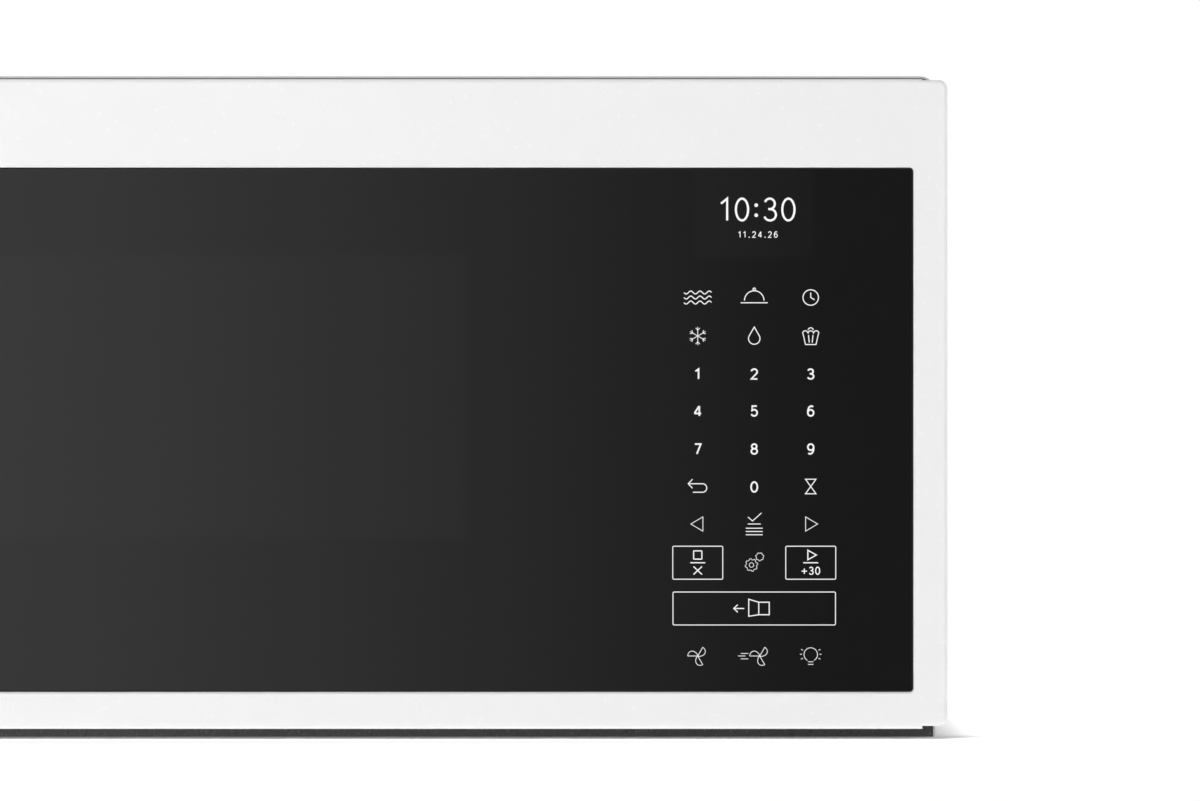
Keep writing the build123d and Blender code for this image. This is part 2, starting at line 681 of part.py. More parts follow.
def blower_motor():
    """Double-shafted motor between the scrolls, held by three arms at each end."""
    front = blower_front + scroll_width
    back = blower_front + blower_length - scroll_width
    body = rod("Y", (blower_x, front + 8, blower_z), 31, back - front - 16)
    body = fillet(body.edges(), 4)
    for groove in range(4):
        y = front + 16 + 8 * groove
        body -= rod("Y", (blower_x, y, blower_z), 33, 2) - rod("Y", (blower_x, y, blower_z), 29.5, 2)
    clear = mouth_lip + free_gap
    post = wheel_inner + mouth_wall + free_gap
    for arm_y, post_y, leg_y in (((clear, clear + 3), (0, clear + 3), (clear, 12)),
                                 ((-clear - 3, -clear), (-clear - 3, 0), (-12, -clear))):
        seat = front if post_y[0] == 0 else back
        for turn in (90, 210, 330):
            arm = span((24, post + 6), arm_y, (-6, 6)) + span((post, post + 6), post_y, (-6, 6))
            body += Pos(blower_x, seat, blower_z) * Rot(0, turn, 0) * (arm + span((24, 28), leg_y, (-6, 6)))
    return body - rod("Y", (blower_x, front, blower_z), blower_shaft + running, back - front)


def blower_wheel():
    """Two cages of forward-curved vanes on one shaft."""
    front = blower_front + scroll_wall + 3
    back = blower_front + blower_length - scroll_wall - 3
    cage = scroll_width - 2 * scroll_wall - 6
    middle = (wheel_inner + wheel_radius) / 2
    wheel = rod("Y", (blower_x, front, blower_z), blower_shaft, back - front)
    with BuildSketch() as vane:
        with BuildLine():
            ThreePointArc((wheel_inner, 0), (middle + 0.6, 2.6), (wheel_radius - 0.2, 8.4))
            ThreePointArc((wheel_radius - 0.2, 8.4), (middle + 0.2, 3.5), (wheel_inner, 1.1))
            Line((wheel_inner, 1.1), (wheel_inner, 0))
        make_face()
    for start, plate_at in ((front, 0), (back - cage, cage - 1.6)):
        disc = rod("Y", (blower_x, start + plate_at, blower_z), wheel_radius, 1.6)
        hub_at = 0 if plate_at == 0 else cage - 12
        disc += rod("Y", (blower_x, start + hub_at, blower_z), 9, 12)
        ring_at = cage - 2 if plate_at == 0 else 0
        rim = rod("Y", (blower_x, start + ring_at, blower_z), wheel_radius, 2)
        disc += rim - rod("Y", (blower_x, start + ring_at, blower_z), wheel_radius - 3, 2)
        place = Plane(origin=(blower_x, start + cage, blower_z), x_dir=(1, 0, 0), z_dir=(0, -1, 0))
        blade = extrude(vane.sketch, cage)
        blades = [place * Rot(0, 0, 360 * step / vane_count) * blade for step in range(vane_count)]
        wheel += disc + blades
    return wheel


# ------------------------------------------------------------------ air path over the cavity
def air_duct():
    """Tray over the cavity roof, wider in front under the vent, with the blower's two windows."""
    floor = cavity_roof + sheet
    back, middle = exhaust_back + 2, blower_front - 14
    corner = middle - (duct_front_right - duct_right)
    front = plate_back + 8
    outline = make_face(Polyline((duct_left, back), (duct_right, back), (duct_right, middle),
                                 (duct_front_right, corner), (duct_front_right, front),
                                 (duct_left, front), close=True))
    outline = fillet(outline.vertices(), 10)
    outer = Pos(0, 0, floor) * extrude(outline, inside_top - floor)
    inner = Pos(0, 0, floor + duct_wall) * extrude(offset(outline, -duct_wall), inside_top - floor)
    duct = outer - inner
    low, high = outlet_bottom + scroll_wall, outlet_top - scroll_wall
    for start in (blower_front, blower_front + blower_length - scroll_width):
        duct -= span((duct_right - 3, duct_right + 1),
                     (start + scroll_wall, start + scroll_width - scroll_wall), (low, high))
    shelf_top = case_top - 21 - filter_thickness
    for x in (90 - vent_half, 0, vent_half - 90):
        duct += span((x - 1, x + 1), (vent_front, vent_back), (floor, shelf_top))
    return duct


def vent_grille():
    """Louvred insert: rim in the case's cut-out, slanted blades, cross ribs and a skirt to the filter."""
    gap = free_gap
    x, y = (-vent_half + gap, vent_half - gap), (vent_front + gap, vent_back - gap)
    low = case_top - 21
    rim = slab("Z", x, y, (low, case_top), 3 - gap)
    rim -= slab("Z", (x[0] + 2, x[1] - 2), (y[0] + 2, y[1] - 2), (low - 1, case_top + 1), 1.2)
    flange = span((-vent_half - 4, vent_half + 4), (vent_front - 2.4, vent_back + 4),
                  (inside_top - 1.4, inside_top))
    grille = rim + (flange - span(x, y, (low, case_top)))
    blade = make_face(Polyline((0, 0), (1.6, 0), (6.6, 9), (5.0, 9), close=True))
    section = Plane(origin=(x[0] + 1, 0, 0), x_dir=(0, 1, 0), z_dir=(1, 0, 0))
    pitch = (y[1] - y[0] - 4) / 8
    for step in range(8):
        bar = extrude(section * Pos(y[0] + 2.2 + pitch * step, case_top - 10) * blade, x[1] - x[0] - 2)
        grille += bar
    for step in range(1, 6):
        rib = x[0] + (x[1] - x[0]) * step / 6
        grille += span((rib - 1, rib + 1), (y[0] + 1, y[1] - 1), (case_top - 12, case_top - 2))
    return grille


def charcoal_filter():
    """Flat carbon cartridge in a frame, under the grille's skirt."""
    high = case_top - 21
    x, y = (-vent_half + 2, vent_half - 2), (vent_front + 2, vent_back - 2)
    body = slab("Z", x, y, (high - filter_thickness, high), 3)
    for step in range(8):
        width = (x[1] - x[0] - 6) / 8
        start = x[0] + 3 + width * step
        pocket = slab("Z", (start + 2, start + width - 2), (y[0] + 4, y[1] - 4), (high - 1.5, high + 1), 2)
        body -= pocket
    return body


def cord_grommet():
    """Flanged ring in the top, where the mains cord leaves."""
    ring = rod("Z", (cord_x, cord_y, inside_top - 3), cord_hole - touching, 3 + sheet)
    ring += rod("Z", (cord_x, cord_y, inside_top - 3), cord_hole + 4, 3)
    ring = fillet(ring.edges().group_by(Axis.Z)[0], 1)
    return ring - rod("Z", (cord_x, cord_y, inside_top - 5), cord_hole - 4, 8)


def cabinet_bolt_brackets():
    """Two plates under the case top, each with a captive nut for a bolt from the cabinet above."""
    pair = []
    for side in (-1, 1):
        x = sorted((side * bolt_x - 17, side * bolt_x + 17))
        plate = slab("Z", x, (bolt_y - 30, bolt_y + 30), (inside_top - 1.6, inside_top), 4)
        plate += rod("Z", (side * bolt_x, bolt_y, inside_top - 14), 7, 14)
        pair.append(plate - rod("Z", (side * bolt_x, bolt_y, inside_top - 16), bolt_radius, 17))
    return pair


# ------------------------------------------------------------------ latch side
def interlock_bracket():
    """Channel behind the front plate with the two catches, switch shelves and lever pivot."""
    front = plate_back
    z = (bracket_bottom, bracket_top)
    channel = span((bracket_left, bracket_right), (front, bracket_back), z)
    channel -= span((bracket_left + bracket_wall, bracket_right - bracket_wall),
                    (front + bracket_wall, bracket_back + 1), (z[0] - 1, z[1] + 1))
    for low, high in (upper_hook, lower_hook):
        channel -= slab("Y", (slot_left, slot_right), (front - 1, front + bracket_wall + 1),
                        (low - nose_drop - 4, high + latch_lift + 3), 3)
        catch = span((bracket_left, slot_right - 8), (front, front + 10),
                     (low - nose_drop - 7, low - nose_drop - free_gap))
        channel += fillet(catch.edges().filter_by(Axis.X).group_by(Axis.Z)[-1], 1)
    for height in switch_heights:
        low = height - switch_height / 2
        channel += span((bracket_left + 1, switch_left + switch_width - 4),
                        (switch_front, switch_front + switch_depth), (low - 1.8, low))
    pivot = rod("X", (lever_left - 1, lever_y, lever_z), 2, bracket_right - lever_left)
    pivot += rod("X", (lever_left + lever_thickness + free_gap, lever_y, lever_z), 4,
                 bracket_right - lever_left - lever_thickness - 1)
    return channel + pivot


def interlock_switches():
    """Three snap-action switch bodies, each bored for its button."""
    bodies = []
    for height in switch_heights:
        body = span((switch_left, switch_left + switch_width), (switch_front, switch_front + switch_depth),
                    (height - switch_height / 2, height + switch_height / 2))
        body = fillet(body.edges().filter_by(Axis.Z), 1)
        for x in (switch_left + 3, switch_left + 13):
            body += span((x - 1.5, x + 1.5), (switch_front + switch_depth, switch_front + switch_depth + 7),
                         (height - 0.4, height + 0.4))
        bore = rod("Y", (hook_left + hook_width / 2, switch_front - 1, height), button_radius + running,
                   button_inside + button_travel + 2)
        bodies.append(body - bore)
    return bodies


def switch_button(height):
    """Button of one switch, its tip just clear of the hook that presses it."""
    start = hook_tip + free_gap
    button = rod("Y", (hook_left + hook_width / 2, start, height), button_radius,
                 switch_front + button_inside - start)
    return fillet(button.edges().group_by(Axis.Y)[0], 0.6)


def release_lever():
    """Rocker on the bracket's pivot: front tip under the hook's pin, rear arm in the plunger."""
    x = (lever_left, lever_left + lever_thickness)
    tip = lift_pin_z - lift_pin_radius - free_gap
    bar = span(x, (lever_y - 22, lever_y + lever_arm + 3), (lever_z - lever_bar / 2, lever_z + lever_bar / 2))
    horn = span(x, (lever_y - 23, lever_y - 18), (lever_z - lever_bar / 2, tip))
    lever = fillet((bar + horn).edges().filter_by(Axis.X).group_by(Axis.Z)[-1], 1)
    lever += rod("X", (x[0], lever_y, lever_z), 5, lever_thickness)
    return lever - rod("X", (x[0] - 1, lever_y, lever_z), 2 + running, lever_thickness + 2)


def release_solenoid():
    """Coil in a bent yoke, on the bracket's outer wall."""
    middle = (lever_left + lever_thickness / 2, lever_y + lever_arm)
    right = bracket_right - bracket_wall
    yoke = span((middle[0] - 11, right), (middle[1] - 10, middle[1] + 10), (lever_z - 36, lever_z - 8))
    yoke -= span((middle[0] - 12, right - 1.6), (middle[1] - 11, middle[1] + 11), (lever_z - 34, lever_z - 10))
    coil = rod("Z", (*middle, lever_z - 34), 8.6, 24)
    return yoke + coil - rod("Z", (*middle, lever_z - 31), plunger_radius + running, 26)


def solenoid_plunger():
    """Slotted armature that the lever's rear arm sits in."""
    middle = (lever_left + lever_thickness / 2, lever_y + lever_arm)
    plunger = rod("Z", (*middle, lever_z - 24), plunger_radius, 31)
    plunger = fillet(plunger.edges().group_by(Axis.Z)[-1], 0.8)
    slot = span((middle[0] - 2, middle[0] + 2), (middle[1] - 6, middle[1] + 6), (lever_z - 3.4, lever_z + 3.4))
    return plunger - slot


# ------------------------------------------------------------------ underside and lamps
def lamp_lens():
    """Frosted lens, flush with the base plate and flanged above it."""
    x, y = lens_length / 2 - free_gap, lens_width / 2 - free_gap
    lens = slab("Z", (-x, x), (lens_y - y, lens_y + y), (case_bottom + 0.2, inside_bottom), 6 - free_gap)
    lens += slab("Z", (-x - 4, x + 4), (lens_y - y - 4, lens_y + y + 4),
                 (inside_bottom, inside_bottom + 1.6), 6)
    return lens


def cooktop_lamp():
    """Reflector box over the lens, with its row of light sources on a board."""
    low = inside_bottom
    half, deep, wall = lens_length / 2 + 16, lens_width / 2 + 10, 1.2
    box = slab("Z", (-half, half), (lens_y - deep, lens_y + deep), (low, low + 14), 5)
    box -= slab("Z", (wall - half, half - wall), (lens_y - deep + wall, lens_y + deep - wall),
                (low - 1, low + 12.8), 4)
    board = span((16 - half, half - 16), (lens_y - 12, lens_y + 12), (low + 11.2, low + 12.8))
    lights = [rod("Z", (lens_length * (step - 1.5) / 4, lens_y, low + 9.6), 2.5, 1.6) for step in range(4)]
    return box + board + lights


def cavity_lamp():
    """Socket and bulb behind the perforations in the cavity's right wall."""
    x, z = cavity_right + sheet, cavity_roof - 15
    box = slab("X", (x, x + 22), (lamp_y - 16, lamp_y + 16), (z - 15, z + 15), 4)
    box -= slab("X", (x - 1, x + 20.8), (lamp_y - 14.8, lamp_y + 14.8), (z - 13.8, z + 13.8), 3)
    bulb = rod("X", (x + 4, lamp_y, z), 6, 17)
    return box + fillet(bulb.edges().group_by(Axis.X)[0], 5)


def grease_filter(side):
    """Metal frame with a recessed mesh on both faces, pivots at the back and a pull ring in front."""
    x = sorted((side * grease_left, side * (grease_left + grease_length)))
    y = (grease_back - grease_width, grease_back)
    z = (case_bottom, case_bottom + grease_thickness)
    body = slab("Z", x, y, z, 4)
    rear = body.edges().filter_by(Axis.X).group_by(Axis.Y)[-1]
    body = fillet(rear, 2.4)
    for limits in ((z[0] - 1, z[0] + 1.2), (z[1] - 1.2, z[1] + 1)):
        body -= slab("Z", (x[0] + 8, x[1] - 8), (y[0] + 8, y[1] - 8), limits, 3)
    middle = (x[0] + x[1]) / 2
    body -= slab("Z", (middle - 14, middle + 14), (y[0] + 12, y[0] + 26), (z[0] - 1, z[0] + 3.4), 4)
    pull = span((middle - 14, middle + 14), (y[0] + 17, y[0] + 19.4), (z[0], z[0] + 2))
    pivot_y, pivot_z = grease_back - pivot_inset, case_bottom + grease_thickness / 2
    ends = [rod("X", (start, pivot_y, pivot_z), pivot_radius, 3)
            for start in (x[0] - free_gap - sheet, x[1] + free_gap + sheet - 3)]
    return body + pull + ends


# ------------------------------------------------------------------ hinges and screws
def hinge_bracket(low, thickness, pin_low, pin_high, leaf_low, leaf_high):
    """Tongue over or under the door with its pin, and the leaf bent along the front plate."""
    tongue_x = (hinge_x - boss_radius, leaf_right)
    tongue = span(tongue_x, (hinge_y - boss_radius, case_front), (low, low + thickness))
    corner = tongue.edges().filter_by(Axis.Z).group_by(Axis.Y)[0]
    tongue = fillet(corner, boss_radius - 0.2)
    tongue += span((leaf_left, leaf_right), (case_front - leaf_thickness, case_front), (leaf_low, leaf_high))
    tongue += rod("Z", (hinge_x, hinge_y, pin_low), pin_radius, pin_high - pin_low)
    return tongue


def upper_hinge():
    """Bracket whose pin hangs into the door's top bush."""
    low = door_top + free_gap
    high = low + upper_tongue
    bracket = hinge_bracket(low, upper_tongue, low - pin_length, high, high - leaf_height, high)
    for x, offset in leaf_screws:
        bracket -= rod("Y", (x, case_front - 4, case_top - offset), screw_hole, 8)
    return bracket


def lower_hinge():
    """Bracket whose pin stands in the door's bottom bush and carries its weight."""
    high = door_bottom - free_gap
    low = high - lower_tongue
    bracket = hinge_bracket(low, lower_tongue, low, high + pin_length, low, low + leaf_height)
    for x, offset in leaf_screws:
        bracket -= rod("Y", (x, case_front - 4, door_bottom + offset - 2), screw_hole, 8)
    return bracket


def case_screws():
    """Like screws that hold the hinge leaves, and the base plate with their heads in its dimples."""
    seat = case_front - leaf_thickness
    heights = [(x, case_top - offset) for x, offset in leaf_screws]
    heights += [(x, door_bottom + offset - 2) for x, offset in leaf_screws]
    screws = [screw("Y", (x, seat, z), 1, screw_length) for x, z in heights]
    seat = case_bottom + dimple_rise - sheet
    return screws + [screw("Z", (x, y, seat), 1, screw_length) for x, y in base_screw_points]


# ------------------------------------------------------------------ door
def door_outline(shrink):
    """Front outline: folded lips stand a little proud between the two ends."""
    middle, height = (door_top + door_bottom) / 2, door_top - door_bottom
    long_part = Pos(0, middle) * Rectangle(2 * (door_end - relief_inset - shrink), height - 2 * shrink)
    low, high = door_bottom + relief_drop + shrink, door_top - relief_rise - shrink
    ends = Pos(0, (low + high) / 2) * Rectangle(2 * (door_end - shrink), high - low)
    outline = long_part + ends
    corners = outline.vertices().group_by(Axis.X)
    return fillet(corners[0] + corners[-1], door_corner - shrink)


def door_frame():
    """White pressed frame: face with rolled edges, folded sides and the return round the glass."""
    place = Plane(origin=(0, door_back, 0), x_dir=(1, 0, 0), z_dir=(0, -1, 0))
    outer = extrude(place * door_outline(0), door_depth)
    outer = fillet(outer.faces().sort_by(Axis.Y)[0].edges(), door_edge)
    inner = extrude(place * door_outline(door_skin), door_depth - door_skin)
    frame = outer - inner
    lip_side, lip_z = glass_side + door_skin, (glass_bottom - door_skin, glass_top + door_skin)
    frame += slab("Y", (-lip_side, lip_side), (door_front + door_skin / 2, lip_back), lip_z,
                  glass_corner + door_skin)
    opening = slab("Y", (-glass_side, glass_side), (door_front - 1, lip_back + 1), (glass_bottom, glass_top),
                   glass_corner)
    frame -= opening
    rim = frame.faces().filter_by(Axis.Y).sort_by(Axis.Y)[0]
    frame = chamfer(rim.inner_wires()[0].edges(), 0.7)
    for z in (skin_top - relief_drop - 1, door_bottom - 1):
        frame -= rod("Z", (hinge_x, hinge_y, z), pin_radius + 0.6, door_skin + relief_drop + 2)
    return frame


def door_glass():
    """Full-width pane, inset in the frame."""
    pane = slab("Y", (-glass_side + free_gap, glass_side - free_gap), (glass_front, glass_back),
                (glass_bottom + free_gap, glass_top - free_gap), glass_corner - free_gap)
    return chamfer(pane.faces().sort_by(Axis.Y)[0].edges(), 0.3)


def door_carrier():
    """Black moulded tray behind the glass: window, control bay, ribs, hinge bosses and latch guide."""
    seat_side, seat_low, seat_high = glass_side - free_gap, glass_bottom + free_gap, glass_top - free_gap
    wide = skin_side - touching
    low, high = skin_bottom + relief_drop + touching, skin_top - relief_rise - touching
    plate_rear = lip_back + carrier_plate
    carrier = slab("Y", (-seat_side, seat_side), (glass_back, lip_back), (seat_low, seat_high),
                   glass_corner - free_gap)
    carrier += slab("Y", (-wide, wide), (lip_back, choke_back), (low, high), door_corner - door_skin)
    carrier -= slab("Y", (-wide + carrier_wall, wide - carrier_wall), (plate_rear, door_back),
                    (low + carrier_wall, high - carrier_wall), 1)
    ring = slab("Y", (window_left - 8, window_right + 8), (plate_rear, choke_front),
                (window_bottom - 8, window_top + 8), 6)
    carrier += ring
    rib_places = [window_left - 24, window_right + 23.6]
    rib_places += [window_left + 101 + 120 * step for step in range(4)]
    ribs = [span((x - 0.9, x + 0.9), (plate_rear, choke_front), (low + 1, high - 1)) for x in rib_places]
    ribs += [span((-wide + 1, board_left - 10), (plate_rear, choke_front), (z - 0.9, z + 0.9))
             for z in (window_bottom - 33.4, window_top + 35.6)]
    carrier += ribs
    for z in ((high - bush_length - 1, high), (low, low + bush_length + 1)):
        boss = rod("Z", (hinge_x, hinge_y, z[0]), boss_radius - 0.4, z[1] - z[0])
        web = span((-wide + 3, hinge_x + boss_radius - 0.4), (plate_rear - 1, hinge_y), z)
        carrier += boss + web
    groove = (latch_front - free_gap, latch_back)
    guide = span((hook_left - free_gap - guide_wall, hook_left + hook_width + free_gap + guide_wall),
                 (plate_rear - 1, latch_back), (latch_bottom - 2, latch_top + spring_length + 2))
    guide -= span((hook_left - free_gap, hook_left + hook_width + free_gap), (groove[0], groove[1] + 1),
                  (latch_bottom - free_gap, latch_top + spring_length))
    carrier += guide
    for x, z in ((board_left + 3, door_top - 43), (board_left + 3, door_bottom + 29),
                 (board_right - 8, door_bottom + 11), (board_right - 8, door_top - 30)):
        carrier += rod("Y", (x, plate_rear - 1, z), 2.6, board_front - plate_rear + 1)
    carrier -= slab("Y", (window_left - 2, window_right + 2), (glass_back - 1, choke_front + 1),
                    (window_bottom - 2, window_top + 2), 4)
    carrier -= span((bay_left, bay_right), (glass_back - 1, plate_rear + 1), (glass_bottom + 2.2, glass_top))
    for z in ((high - bush_length, high + 1), (low - 1, low + bush_length)):
        carrier -= rod("Z", (hinge_x, hinge_y, z[0]), bush_radius, z[1] - z[0])
        carrier -= rod("Z", (hinge_x, hinge_y, z[0] - 2), pin_radius + 0.6, z[1] - z[0] + 4)
    return carrier


def hinge_bushes():
    """Two plain bushes in the door's left corners."""
    low, high = skin_bottom + relief_drop + touching, skin_top - relief_rise - touching
    pair = []
    for z in (high - bush_length, low):
        bush = rod("Z", (hinge_x, hinge_y, z), bush_radius, bush_length)
        pair.append(bush - rod("Z", (hinge_x, hinge_y, z - 1), pin_radius + running, bush_length + 2))
    return pair


def choke_panel():
    """Pressed inner panel: the channel round the window that stops the microwaves, and the screen's seat."""
    t = choke_sheet
    y = (choke_front, choke_back)
    pan = slab("Y", (dam_left - choke_width, dam_right + choke_width), y,
               (dam_bottom - choke_width, dam_top + choke_width), 10)
    pan -= slab("Y", (dam_left - choke_width + t, dam_right + choke_width - t), (y[0] + t, y[1] + 1),
                (dam_bottom - choke_width + t, dam_top + choke_width - t), 10 - t)
    pan += slab("Y", (dam_left, dam_right), y, (dam_bottom, dam_top), 8)
    pan -= slab("Y", (dam_left + t, dam_right - t), (y[0] - 1, y[1] - t), (dam_bottom + t, dam_top - t), 8 - t)
    pan -= slab("Y", (window_left, window_right), (y[0] - 1, y[1] + 1), (window_bottom, window_top), 4)
    return pan


def window_screen():
    """Perforated sheet on the panel's seat; its fine holes are left to the finish."""
    rear = choke_back - choke_sheet
    return slab("Y", (window_left - 6, window_right + 6), (rear - 0.6, rear),
                (window_bottom - 6, window_top + 6), 4)


def inner_window():
    """Clear pane on the cavity side of the panel."""
    return slab("Y", (window_left - 6, window_right + 6), (choke_back, choke_back + cover_thickness),
                (window_bottom - 6, window_top + 6), 4)


def choke_cover():
    """Moulded ring over the channel, bevelled towards the inner window."""
    left, right = -skin_side + 1.5, board_left - 22
    low, high = skin_bottom + 1.5, skin_top - 1.5
    ring = slab("Y", (left, right), (choke_back, choke_back + cover_thickness), (low, high), 3)
    ring -= slab("Y", (window_left - 6.5, window_right + 6.5), (choke_back - 1, door_back),
                 (window_bottom - 6.5, window_top + 6.5), 4.5)
    sides = ((dam_left - choke_width + 1.2, dam_left - 1), (dam_right + 1, dam_right + choke_width - 1.2))
    for side in sides:
        for z in (feed_z - 25, feed_z + 23):
            ring += span(side, (choke_back - 3, choke_back), (z, z + 2))
    return ring


def control_cover():
    """Cover over the electronics, slotted for the hooks, with a row of vents."""
    left, right = board_left - 21.5, skin_side - 1.5
    cover = slab("Y", (left, right), (choke_back, choke_back + cover_thickness),
                 (skin_bottom + 1.5, skin_top - 1.5), 3)
    for low, high in (upper_hook, lower_hook):
        cover -= span((hook_left - 1, hook_left + hook_width + 1), (choke_back - 1, door_back),
                      (low - 1, high + latch_lift + 1))
    for row in range(8):
        place = Plane(origin=(board_left + 39, door_back, 8 * row - 30), x_dir=(1, 0, 0), z_dir=(0, -1, 0))
        cover -= extrude(place * SlotOverall(50, 2.4), 5)
    for x, z in cover_screw_points:
        cover -= rod("Y", (x, choke_back - 1, z), screw_hole, 5)
    return cover


def touch_panel():
    """Sensor sheet bonded to the rear of the glass, its edge connector turned down."""
    low, high = glass_bottom + 3, glass_top - display_height - 2.4
    panel = slab("Y", (bay_left + 0.5, bay_right - 1), (glass_back, glass_back + 1.4), (low, high), 1)
    return panel + span((bay_left + 26.5, bay_left + 50.5), (glass_back + 1.4, glass_back + 4),
                        (low + 4, low + 10))


def display_module():
    """Shallow framed display behind the glass."""
    high = glass_top - free_gap
    module = slab("Y", (display_left, display_right), (glass_back, display_rear),
                  (high - display_height, high), 1.5)
    return module - slab("Y", (display_left + 3, display_right - 3), (glass_back - 1, glass_back + 0.4),
                         (high - display_height + 2, high - 2), 1)


def control_board():
    """Main board on its posts, with relay, chips, connectors and a buzzer."""
    x, rear = board_left, board_front + board_thickness
    low, high = door_bottom + 7, door_top - 25
    board = slab("Y", (x, board_right), (board_front, rear), (low, high), 2)
    board += slab("Y", (x + 6, x + 26), (rear, rear + 13), (high - 36, high - 10), 1)
    board += slab("Y", (x + 34, x + 60), (rear, rear + 2), (high - 96, high - 70), 0.5)
    board += slab("Y", (x + 44, x + 58), (rear, rear + 2), (low + 92, low + 106), 0.5)
    board += span((x + 6, x + 36), (rear, rear + 9), (low + 10, low + 22))
    board += span((x + 44, x + 74), (rear, rear + 9), (high - 20, high - 12))
    buzzer = rod("Y", (x + 19, rear, low + 62), 7, 7)
    board += fillet(buzzer.edges().group_by(Axis.Y)[-1], 1)
    for z in (high - 110, high - 92, high - 74):
        board += rod("Y", (x + 14, rear, z), 5, 12)
    board += span((x + 29, x + 64), (display_rear, board_front), (high - 46, high - 40))
    return board


def door_screws():
    """Four screws of the control cover."""
    return [screw("Y", (x, choke_back + cover_thickness, z), -1, 4) for x, z in cover_screw_points]


def door_latch():
    """Slide with two hooks and the pin that the release lever lifts."""
    x = (hook_left, hook_left + hook_width)
    latch = span(x, (latch_front, latch_back), (latch_bottom, latch_top))
    for low, high in (upper_hook, lower_hook):
        latch += span(x, (latch_back - 1, hook_tip), (low, high))
        latch += span(x, (hook_tip - nose_length, hook_tip), (low - nose_drop, low + 1))
    latch = fillet(latch.edges().filter_by(Axis.X).group_by(Axis.Y)[-1], 1.5)
    return latch + rod("X", (x[1] - 1, lift_pin_y, lift_pin_z), lift_pin_radius, 7)


def latch_spring():
    """Compression spring that presses the slide down, as a tube of its outer shape."""
    middle = (hook_left + hook_width / 2, (latch_front + latch_back) / 2)
    place = (*middle, latch_top)
    return rod("Z", place, 2.8, spring_length) - rod("Z", place, 2, spring_length)


# ------------------------------------------------------------------ one file per piece
pieces = {
    "outer_case": outer_case(),
    "base_plate": base_plate(),
    "back_panel": back_panel(),
    "front_frame": front_frame(),
    "cavity": cavity(),
    "waveguide_cover": waveguide_cover(),
    "waveguide": waveguide(),
    "magnetron": magnetron(),
    "transformer": transformer(),
    "hv_capacitor": hv_capacitor(),
    "line_filter_board": line_filter_board(),
    "fan_shroud": fan_shroud(),
    "cooling_fan_motor": cooling_fan_motor(),
    "cooling_fan": cooling_fan(),
    "blower_housing": blower_housing(),
    "blower_motor": blower_motor(),
    "blower_wheel": blower_wheel(),
    "air_duct": air_duct(),
    "vent_grille": vent_grille(),
    "charcoal_filter": charcoal_filter(),
    "cord_grommet": cord_grommet(),
    "cabinet_bolt_brackets": cabinet_bolt_brackets(),
    "interlock_bracket": interlock_bracket(),
    "interlock_switches": interlock_switches(),
    "primary_switch_button": switch_button(switch_heights[0]),
    "secondary_switch_button": switch_button(switch_heights[1]),
    "monitor_switch_button": switch_button(switch_heights[2]),
    "release_lever": release_lever(),
    "release_solenoid": release_solenoid(),
    "solenoid_plunger": solenoid_plunger(),
    "turntable_motor": turntable_motor(),
    "turntable_coupler": turntable_coupler(),
    "glass_tray": glass_tray(),
    "roller_ring": roller_ring(),
    "ring_roller_front": ring_roller(270),
    "ring_roller_left": ring_roller(150),
    "ring_roller_right": ring_roller(30),
    "cavity_lamp": cavity_lamp(),
    "cooktop_lamp": cooktop_lamp(),
    "lamp_lens": lamp_lens(),
    "grease_filter_left": grease_filter(-1),
    "grease_filter_right": grease_filter(1),
    "upper_hinge": upper_hinge(),
    "lower_hinge": lower_hinge(),
    "case_screws": case_screws(),
    "door_frame": door_frame(),
    "door_glass": door_glass(),
    "door_carrier": door_carrier(),
    "hinge_bushes": hinge_bushes(),
    "choke_panel": choke_panel(),
    "choke_cover": choke_cover(),
    "window_screen": window_screen(),
    "inner_window": inner_window(),
    "touch_panel": touch_panel(),
    "display_module": display_module(),
    "control_board": control_board(),
    "control_cover": control_cover(),
    "door_screws": door_screws(),
    "door_latch": door_latch(),
    "latch_spring": latch_spring(),
}

for name, piece in pieces.items():
    shape = Compound(list(piece)) if isinstance(piece, list) else piece
    export_step(shape, f"parts/{name}.step")
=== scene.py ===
import bpy
import numpy as np
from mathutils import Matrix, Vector


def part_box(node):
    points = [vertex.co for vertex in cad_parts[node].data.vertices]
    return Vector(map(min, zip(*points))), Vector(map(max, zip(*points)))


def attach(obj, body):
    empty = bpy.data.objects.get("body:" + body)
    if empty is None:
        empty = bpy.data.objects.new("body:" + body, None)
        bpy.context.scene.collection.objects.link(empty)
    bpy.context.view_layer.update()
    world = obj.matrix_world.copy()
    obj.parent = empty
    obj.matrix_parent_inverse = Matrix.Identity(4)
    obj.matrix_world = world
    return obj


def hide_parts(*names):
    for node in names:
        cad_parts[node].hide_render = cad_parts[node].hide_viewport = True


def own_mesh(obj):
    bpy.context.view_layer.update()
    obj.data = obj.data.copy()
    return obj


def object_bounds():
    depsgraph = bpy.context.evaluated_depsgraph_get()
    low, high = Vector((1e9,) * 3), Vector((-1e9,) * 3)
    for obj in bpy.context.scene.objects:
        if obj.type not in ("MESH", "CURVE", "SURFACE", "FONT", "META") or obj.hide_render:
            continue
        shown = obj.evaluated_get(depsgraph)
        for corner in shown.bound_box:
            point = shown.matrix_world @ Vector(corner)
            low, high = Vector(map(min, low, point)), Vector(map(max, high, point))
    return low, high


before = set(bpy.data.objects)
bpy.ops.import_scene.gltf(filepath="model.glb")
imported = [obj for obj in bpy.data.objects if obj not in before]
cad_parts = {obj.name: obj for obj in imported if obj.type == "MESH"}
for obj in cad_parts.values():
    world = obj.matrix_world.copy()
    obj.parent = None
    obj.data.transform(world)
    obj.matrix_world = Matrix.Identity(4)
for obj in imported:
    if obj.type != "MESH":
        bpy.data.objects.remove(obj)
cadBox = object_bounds()
millimetre = 0.001
doorLow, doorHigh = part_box("door_frame")
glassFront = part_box("door_glass")[0].y
